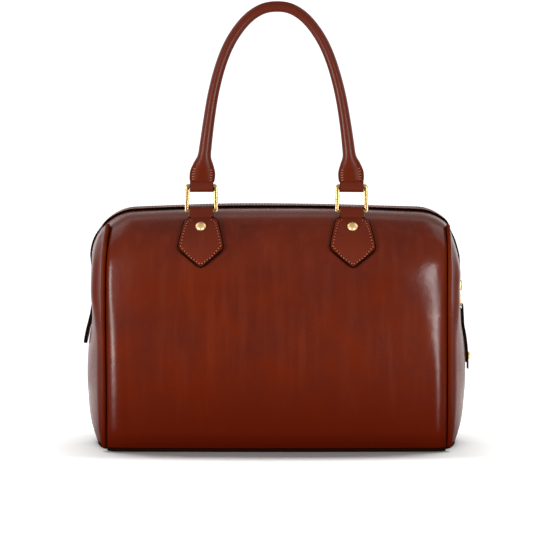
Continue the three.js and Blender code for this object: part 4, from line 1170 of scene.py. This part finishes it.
def chape(name, middle, slide, turn):
    path = chape_path()
    last = len(path) - 1

    def spot(p, q):
        arc, lift = path[round(q * last)]
        on_tab = round(q * last) <= TAB_ROWS
        half = chape_half_width(arc) if on_tab else LOOP_HALF_WIDTH
        aside = math.sin((p - 0.5) * math.pi) * half
        inside = outline_distance(aside, arc) if on_tab else half - abs(aside)
        return arc, lift, aside, inside

    def place(p, q):
        arc, lift, aside, inside = spot(p, q)
        bend = max(0, 1 - inside / CHAPE_EDGE)
        drop = CHAPE_EDGE_DROP if round(q * last) <= TAB_ROWS else LOOP_EDGE_DROP
        return fitting_place(middle, arc + slide, aside, lift - drop * (1 - math.sqrt(1 - bend * bend)))[0]

    def paint(p, q):
        arc, _, _, inside = spot(p, q)
        width = mix(1.0, 1.8, smoothstep(84, 91, arc))
        on_tab = round(q * last) <= TAB_ROWS
        return min(1, max(0, 1.5 - inside / width)) if on_tab else 0

    def thinning(p, q):
        row = round(q * last)
        loop_share = LOOP_WALL / CHAPE_THICKNESS
        return mix(loop_share, 1, smoothstep(58, 63, path[row][0])) if row <= TAB_ROWS + 4 else loop_share

    piece = sheet(name, 36, last, place, paint, thinning, turn)
    walled(piece, CHAPE_THICKNESS - GAP)
    return piece


def chape_stitches(middle, slide):
    half = [Vector((width, arc)) for arc, width in CHAPE_STITCH_LINE]
    places = []
    for side in (-1, 1):
        for spot, along in evenly(half, STITCH_PITCH):
            arc = spot.y + slide
            point, out = fitting_place(middle, arc, side * spot.x, chape_top)
            ahead, _ = fitting_place(middle, arc + along.y * 0.3, side * (spot.x + along.x * 0.3), chape_top)
            places.append((point, (ahead - point).normalized(), out))
    return places


# Handles: rolled tubes, flattened at the ends over tongues that loop round the rings' upper bars.
def curve_through(points, steps):
    """Points of a smooth curve through some points, in even small steps between each two."""
    ends = [points[0] * 2 - points[1]] + points + [points[-1] * 2 - points[-2]]
    curve = []
    for a, b, c, d in zip(ends, ends[1:], ends[2:], ends[3:]):
        for i in range(steps):
            f = i / steps
            curve.append(0.5 * (2 * b + (c - a) * f + (2 * a - 5 * b + 4 * c - d) * f ** 2
                                + (3 * b - a - 3 * c + d) * f ** 3))
    return curve + [points[-1]]


def upright_course(rise):
    return Vector((0, 0, rise))


@lru_cache(maxsize=None)
def hanging_course(rise):
    """The back handle leaves its rings at a slant and bends over to hang straight down."""
    steps = 60
    step = rise / steps
    place = Vector((0, 0, 0))
    for i in range(steps):
        bent = smoothstep(BACK_DROOP_START, BACK_DROOP_START + BACK_DROOP_LENGTH, (i + 0.5) * step)
        angle = math.radians(mix(BACK_DROOP_ANGLE, 90, bent))
        place += Vector((0, -math.cos(angle), -math.sin(angle))) * step
    return place


left_leg = [Vector((-span, rise)) for rise, span in HANDLE_ARCH]
arch = curve_through(left_leg + [Vector((-p.x, p.y)) for p in reversed(left_leg[:-1])], 24)
arch_lengths = [0.0]
for before, after in zip(arch, arch[1:]):
    arch_lengths.append(arch_lengths[-1] + (after - before).length)
arch_length = arch_lengths[-1]


@lru_cache(maxsize=None)
def arch_place(along):
    """Place and heading on the handle's flat arch, at a distance along it."""
    i = 0
    while i < len(arch) - 2 and arch_lengths[i + 1] < along:
        i += 1
    step = arch[i + 1] - arch[i]
    return arch[i] + step * ((along - arch_lengths[i]) / step.length), step.normalized()


def handle_surface(bar, course, along, turn):
    """A place on a handle: along it from its left end, and round it from its right edge over the front."""
    flat, heading = arch_place(along)
    rising = (course(flat.y + 0.05) - course(flat.y - 0.05)).normalized()
    ahead = (RIGHT * heading.x + rising * heading.y).normalized()
    flatwise = RIGHT.cross(rising)
    wide = flatwise.cross(ahead)
    end = min(along, arch_length - along)
    width = smooth_value(HANDLE_SECTION, end, 1) / 2
    thickness = smooth_value(HANDLE_SECTION, end, 2) / 2
    middle = bar + RIGHT * flat.x + course(flat.y)
    return middle + wide * width * math.cos(turn) + flatwise * thickness * math.sin(turn)


def handle_along(q):
    """Distance along a handle, with closer steps at both ends where its section changes."""
    half = 2 * q - 1
    first = HANDLE_SECTION[0][0]
    along = first + (arch_length / 2 - first) * (1 - abs(half)) ** 1.5
    return along if half < 0 else arch_length - along


def dull_ends(p, q):
    along = handle_along(q)
    return 0.7 * DULL_MARK * (1 - smoothstep(14, 30, min(along, arch_length - along)))


def handle_tongue(name, bar, course, side, turn):
    """The strip at a handle's end, round the upper bar of a ring and up into the handle on both faces."""
    rising = course(0.1).normalized()
    flatwise = RIGHT.cross(rising)
    path = list(TONGUE_TAPER)
    for i in range(25):
        angle = math.radians(mix(-25, 205, i / 24))
        path.append((-LOOP_RADIUS * math.sin(angle), LOOP_RADIUS * math.cos(angle)))
    path += [(rise, -height) for rise, height in reversed(TONGUE_TAPER)]
    last = len(path) - 1

    def place(p, q):
        rise, height = path[round(q * last)]
        x = side * HANDLE_HALF_SPACING - math.sin((p - 0.5) * math.pi) * LOOP_HALF_WIDTH
        return bar + RIGHT * x + rising * rise + flatwise * height

    tongue = sheet(name, 20, last, place, lambda p, q: 1 if min(p, 1 - p) < 0.06 else 0, turn=turn)
    walled(tongue, LOOP_WALL, STRIP_EDGE)
    return tongue


def handle_stitches(bar, course):
    """Coarse stitches over the edges of a handle's flattened ends, with the holes beside them."""
    surface = partial(handle_surface, bar, course)
    stitches = []
    holes = []
    for end in (0, 1):
        for along in HANDLE_STITCH_PLACES:
            far = arch_length - along if end else along
            for edge in (HANDLE_STITCH_TURN, math.pi - HANDLE_STITCH_TURN):
                point = surface(far, edge)
                across = (surface(far, edge + 0.05) - surface(far, edge - 0.05)).normalized()
                ahead = (surface(far + 0.1, edge) - surface(far - 0.1, edge)).normalized()
                out = ahead.cross(across).normalized()
                if out.dot(point - surface(far, edge + math.pi)) < 0:
                    out = -out
                slanted = across + ahead * HANDLE_STITCH_SLANT
                stitches.append(frame_at(point + out * HANDLE_STITCH_LIFT, slanted, out, HANDLE_STITCH))
                holes.append(frame_at(point + ahead * HANDLE_HOLE_ASIDE, across, out, HANDLE_HOLE))
    return stitches, holes


def ring_top(lean, slide):
    angle = math.radians(lean)
    return loop_centre(slide) + Vector((0, -math.sin(angle), math.cos(angle))) * RING_RISE


def fittings(face, turn, lean, slide, course, ring_pattern, stud_pattern):
    """Chapes, studs, rings and handle of one face; the back ones are laid out as front ones and turned."""
    foot = loop_centre(slide)
    bar = ring_top(lean, slide)
    for side in (-1, 1):
        label = side_label(face, side)
        middle = side * HANDLE_HALF_SPACING
        tab = chape(f"chape_{label}_leather", middle, slide, turn)
        finish(tab, strap_leather, "leather", f"chape_{label}")
        place, out = fitting_place(middle, STUD_ARC + slide, 0, chape_top - STUD_SINK)
        stud = copied(stud_pattern, f"stud_{label}_brass", seat(place, out, turn))
        finish(stud, stud_brass, "brass", f"stud_{label}")
        lower_bar = Matrix.Translation(settled(turn @ (foot + RIGHT * middle)) * MM)
        leaning = turn @ Matrix.Rotation(math.radians(lean), 4, "X")
        ring = copied(ring_pattern, f"ring_{label}_brass", lower_bar @ leaning)
        finish(ring, brass, "brass", f"ring_{label}")
        tongue = handle_tongue(f"handle_{label}_tongue", bar, course, side, turn)
        finish(tongue, strap_leather, "leather")
        sewn = [(turn @ point, turn.to_3x3() @ along, turn.to_3x3() @ out)
                for point, along, out in chape_stitches(middle, slide)]
        stitch_rows(f"chape_{label}_stitches", sewn)
    grip = tube(f"handle_{face}_leather", 28, 190,
                lambda angle, q: handle_surface(bar, course, handle_along(q), angle), dull_ends, turn)
    finish(grip, strap_leather, "leather", f"handle_{face}")
    stitches, holes = handle_stitches(bar, course)
    sewn = repeated(f"handle_{face}_stitches", thread_pattern(), [turn @ place for place in stitches])
    finish(sewn, thread, "leather")
    pierced = repeated(f"handle_{face}_stitch_holes", thread_pattern(), [turn @ place for place in holes])
    finish(pierced, hole_finish, "dark_leather")


def front_and_back_fittings():
    half = RING_BAR / 2
    ring = rounded_frame("ring_pattern", RING_FOOT_HALF_WIDTH, RING_TOP_HALF_WIDTH, -half,
                         RING_RISE + half + RING_SLACK, RING_CORNER, RING_BAR, RING_DEPTH)
    stud = stud_dome("stud_pattern", STUD_RADIUS, STUD_HEIGHT)
    fittings("front", FRONT, 0, 0, upright_course, ring, stud)
    fittings("back", HALF_TURN, BACK_RING_LEAN, BACK_SLIDE, hanging_course, ring, stud)
    bpy.data.objects.remove(ring)
    bpy.data.objects.remove(stud)


front_and_back_walls()
side_walls()
base()
piping()
zip_bands()
zip_chain()
end_tab()
zip_slider()
zip_pull()
front_and_back_fittings()


# The studio, in metres: a pale floor that runs into a white backdrop, soft boxes and the camera.
FLOOR_WIDTH = 1.3
FLOOR_FRONT = -0.19
FLOOR_BACK = 0.4

# Upward part of a direction, and the light from there. A dark flag low in front keeps the walls' colour deep.
ROOM_IN_FRONT = [
    (-0.45, 0.6), (-0.26, 0.35), (-0.13, 0.02), (-0.08, 0.04), (0, 0.35), (0.3, 0.45), (0.7, 0.5),
]
ROOM_BEHIND = [(-0.3, 0.2), (-0.1, 1.0), (0.12, 1.4), (0.35, 0.3), (0.9, 0.25), (1, 0.4)]
WHITE_BACKDROP = 1.2

# The camera, a little above level. Lens and sensor are in millimetres.
LENS = 173.4
SENSOR = 36
VIEW_DISTANCE = 2.2
VIEW_ELEVATION = 3.5
VIEW_TARGET = Vector((-0.0084, 0, 0.1499))
VIEW_END = 50


def floor():
    """A sheet of matt, faintly cloudy paper that shows the bag's shadow."""
    piece = started("studio_floor", bpy.ops.mesh.primitive_grid_add, size=1, x_subdivisions=8,
                    y_subdivisions=8)
    for vertex in piece.data.vertices:
        vertex.co = Vector((vertex.co.x * FLOOR_WIDTH, mix(FLOOR_FRONT, FLOOR_BACK, vertex.co.y + 0.5), 0))
    material, tree, shader = new_material("pale_backdrop_paper", Roughness=0.9, Specular_IOR_Level=0.1)
    place = add_node(tree, "TexCoord", {}).outputs["Object"]
    cloud = add_node(tree, "TexNoise", {"Vector": place, "Scale": 1 / 0.25}).outputs["Fac"]
    tone = add_node(tree, "Mix", {"Factor": cloud, 6: linear("#c6c6c5"), 7: linear("#cbcbca")},
                    data_type="RGBA")
    tree.links.new(tone.outputs[2], shader.inputs["Base Color"])
    piece.data.materials.append(material)
    return piece


def soft_box(name, place, aim, width, height, power):
    light = bpy.data.lights.new(name, "AREA")
    light.shape = "RECTANGLE"
    light.size = width
    light.size_y = height
    light.energy = power
    lamp = bpy.data.objects.new(name, light)
    lamp.location = place
    lamp.rotation_euler = (Vector(aim) - Vector(place)).to_track_quat("-Z", "Y").to_euler()
    bpy.context.collection.objects.link(lamp)
    return lamp


def light_only(lamp, piece, state):
    """Makes a lamp light only one piece, or all but that piece."""
    linked = bpy.data.collections.new(lamp.name + "_links")
    linked.objects.link(piece)
    linked.collection_objects[0].light_linking.link_state = state
    lamp.light_linking.receiver_collection = linked


def light_by_height(tree, upward, levels):
    """A ramp from the upward part of a direction to the light that comes from there."""
    share = add_node(tree, "MapRange", {"Value": upward, "From Min": -1.0}).outputs[0]
    ramp = add_node(tree, "ValToRGB", {"Fac": share})
    stops = ramp.color_ramp.elements
    stops.remove(stops[1])
    for i, (height, level) in enumerate(levels):
        stop = stops.new((height + 1) / 2) if i else stops[0]
        stop.position = (height + 1) / 2
        stop.color = (level, level, level, 1)
    return ramp.outputs["Color"]


def backdrop(in_front, behind):
    """The room's light on both sides of the bag. The camera sees plain white behind it."""
    world = bpy.data.worlds.new("studio")
    bpy.context.scene.world = world
    world.use_nodes = True
    tree = world.node_tree
    place = add_node(tree, "TexCoord", {}).outputs["Generated"]
    way = add_node(tree, "SeparateXYZ", {"Vector": place}).outputs
    back = add_node(tree, "MapRange", {"Value": way["Y"], "From Min": -0.1, "From Max": 0.4},
                    interpolation_type="SMOOTHSTEP").outputs[0]
    room = add_node(tree, "Mix", {"Factor": back, "A": light_by_height(tree, way["Z"], in_front),
                                  "B": light_by_height(tree, way["Z"], behind)}).outputs[0]
    seen = add_node(tree, "LightPath", {}).outputs["Is Camera Ray"]
    strength = add_node(tree, "Mix", {"Factor": seen, "A": room, "B": WHITE_BACKDROP}).outputs[0]
    background = tree.nodes["Background"]
    background.inputs["Color"].default_value = (1, 1, 1, 1)
    tree.links.new(strength, background.inputs["Strength"])


def camera():
    data = bpy.data.cameras.new("camera")
    data.lens = LENS
    data.sensor_width = SENSOR
    data.clip_end = VIEW_END
    viewer = bpy.data.objects.new("camera", data)
    elevation = math.radians(VIEW_ELEVATION)
    viewer.location = VIEW_TARGET + Vector((0, -math.cos(elevation), math.sin(elevation))) * VIEW_DISTANCE
    viewer.rotation_euler = (math.pi / 2 - elevation, 0, 0)
    bpy.context.collection.objects.link(viewer)
    bpy.context.scene.camera = viewer


table = floor()
backdrop(ROOM_IN_FRONT, ROOM_BEHIND)

# Place, aim, width, height and watts of each lamp.
bag_lamps = [
    soft_box("left_soft_box", (-1.13, -1.18, 0.12), (0, 0, 0.12), 0.38, 0.6, 21),
    soft_box("right_soft_box", (0.86, -1.37, 0.12), (0, 0, 0.12), 0.3, 0.6, 15.5),
    soft_box("left_top_soft_box", (-1.5, 0.6, 1.4), (0, 0, 0.15), 1.8, 1.8, 14),
    soft_box("right_top_soft_box", (1.5, 0.6, 1.4), (0, 0, 0.15), 1.8, 1.8, 14),
    soft_box("top_soft_box", (0, 1.1, 1.4), (0, 0, 0.2), 1.4, 0.25, 0.7),
]
table_lamp = soft_box("table_soft_box", (0, 0.45, 2.0), (0, 0.45, 0), 2.6, 0.46, 128)
light_only(table_lamp, table, "INCLUDE")
for lamp in bag_lamps:
    light_only(lamp, table, "EXCLUDE")
camera()
bpy.context.scene.view_settings.view_transform = "Standard"
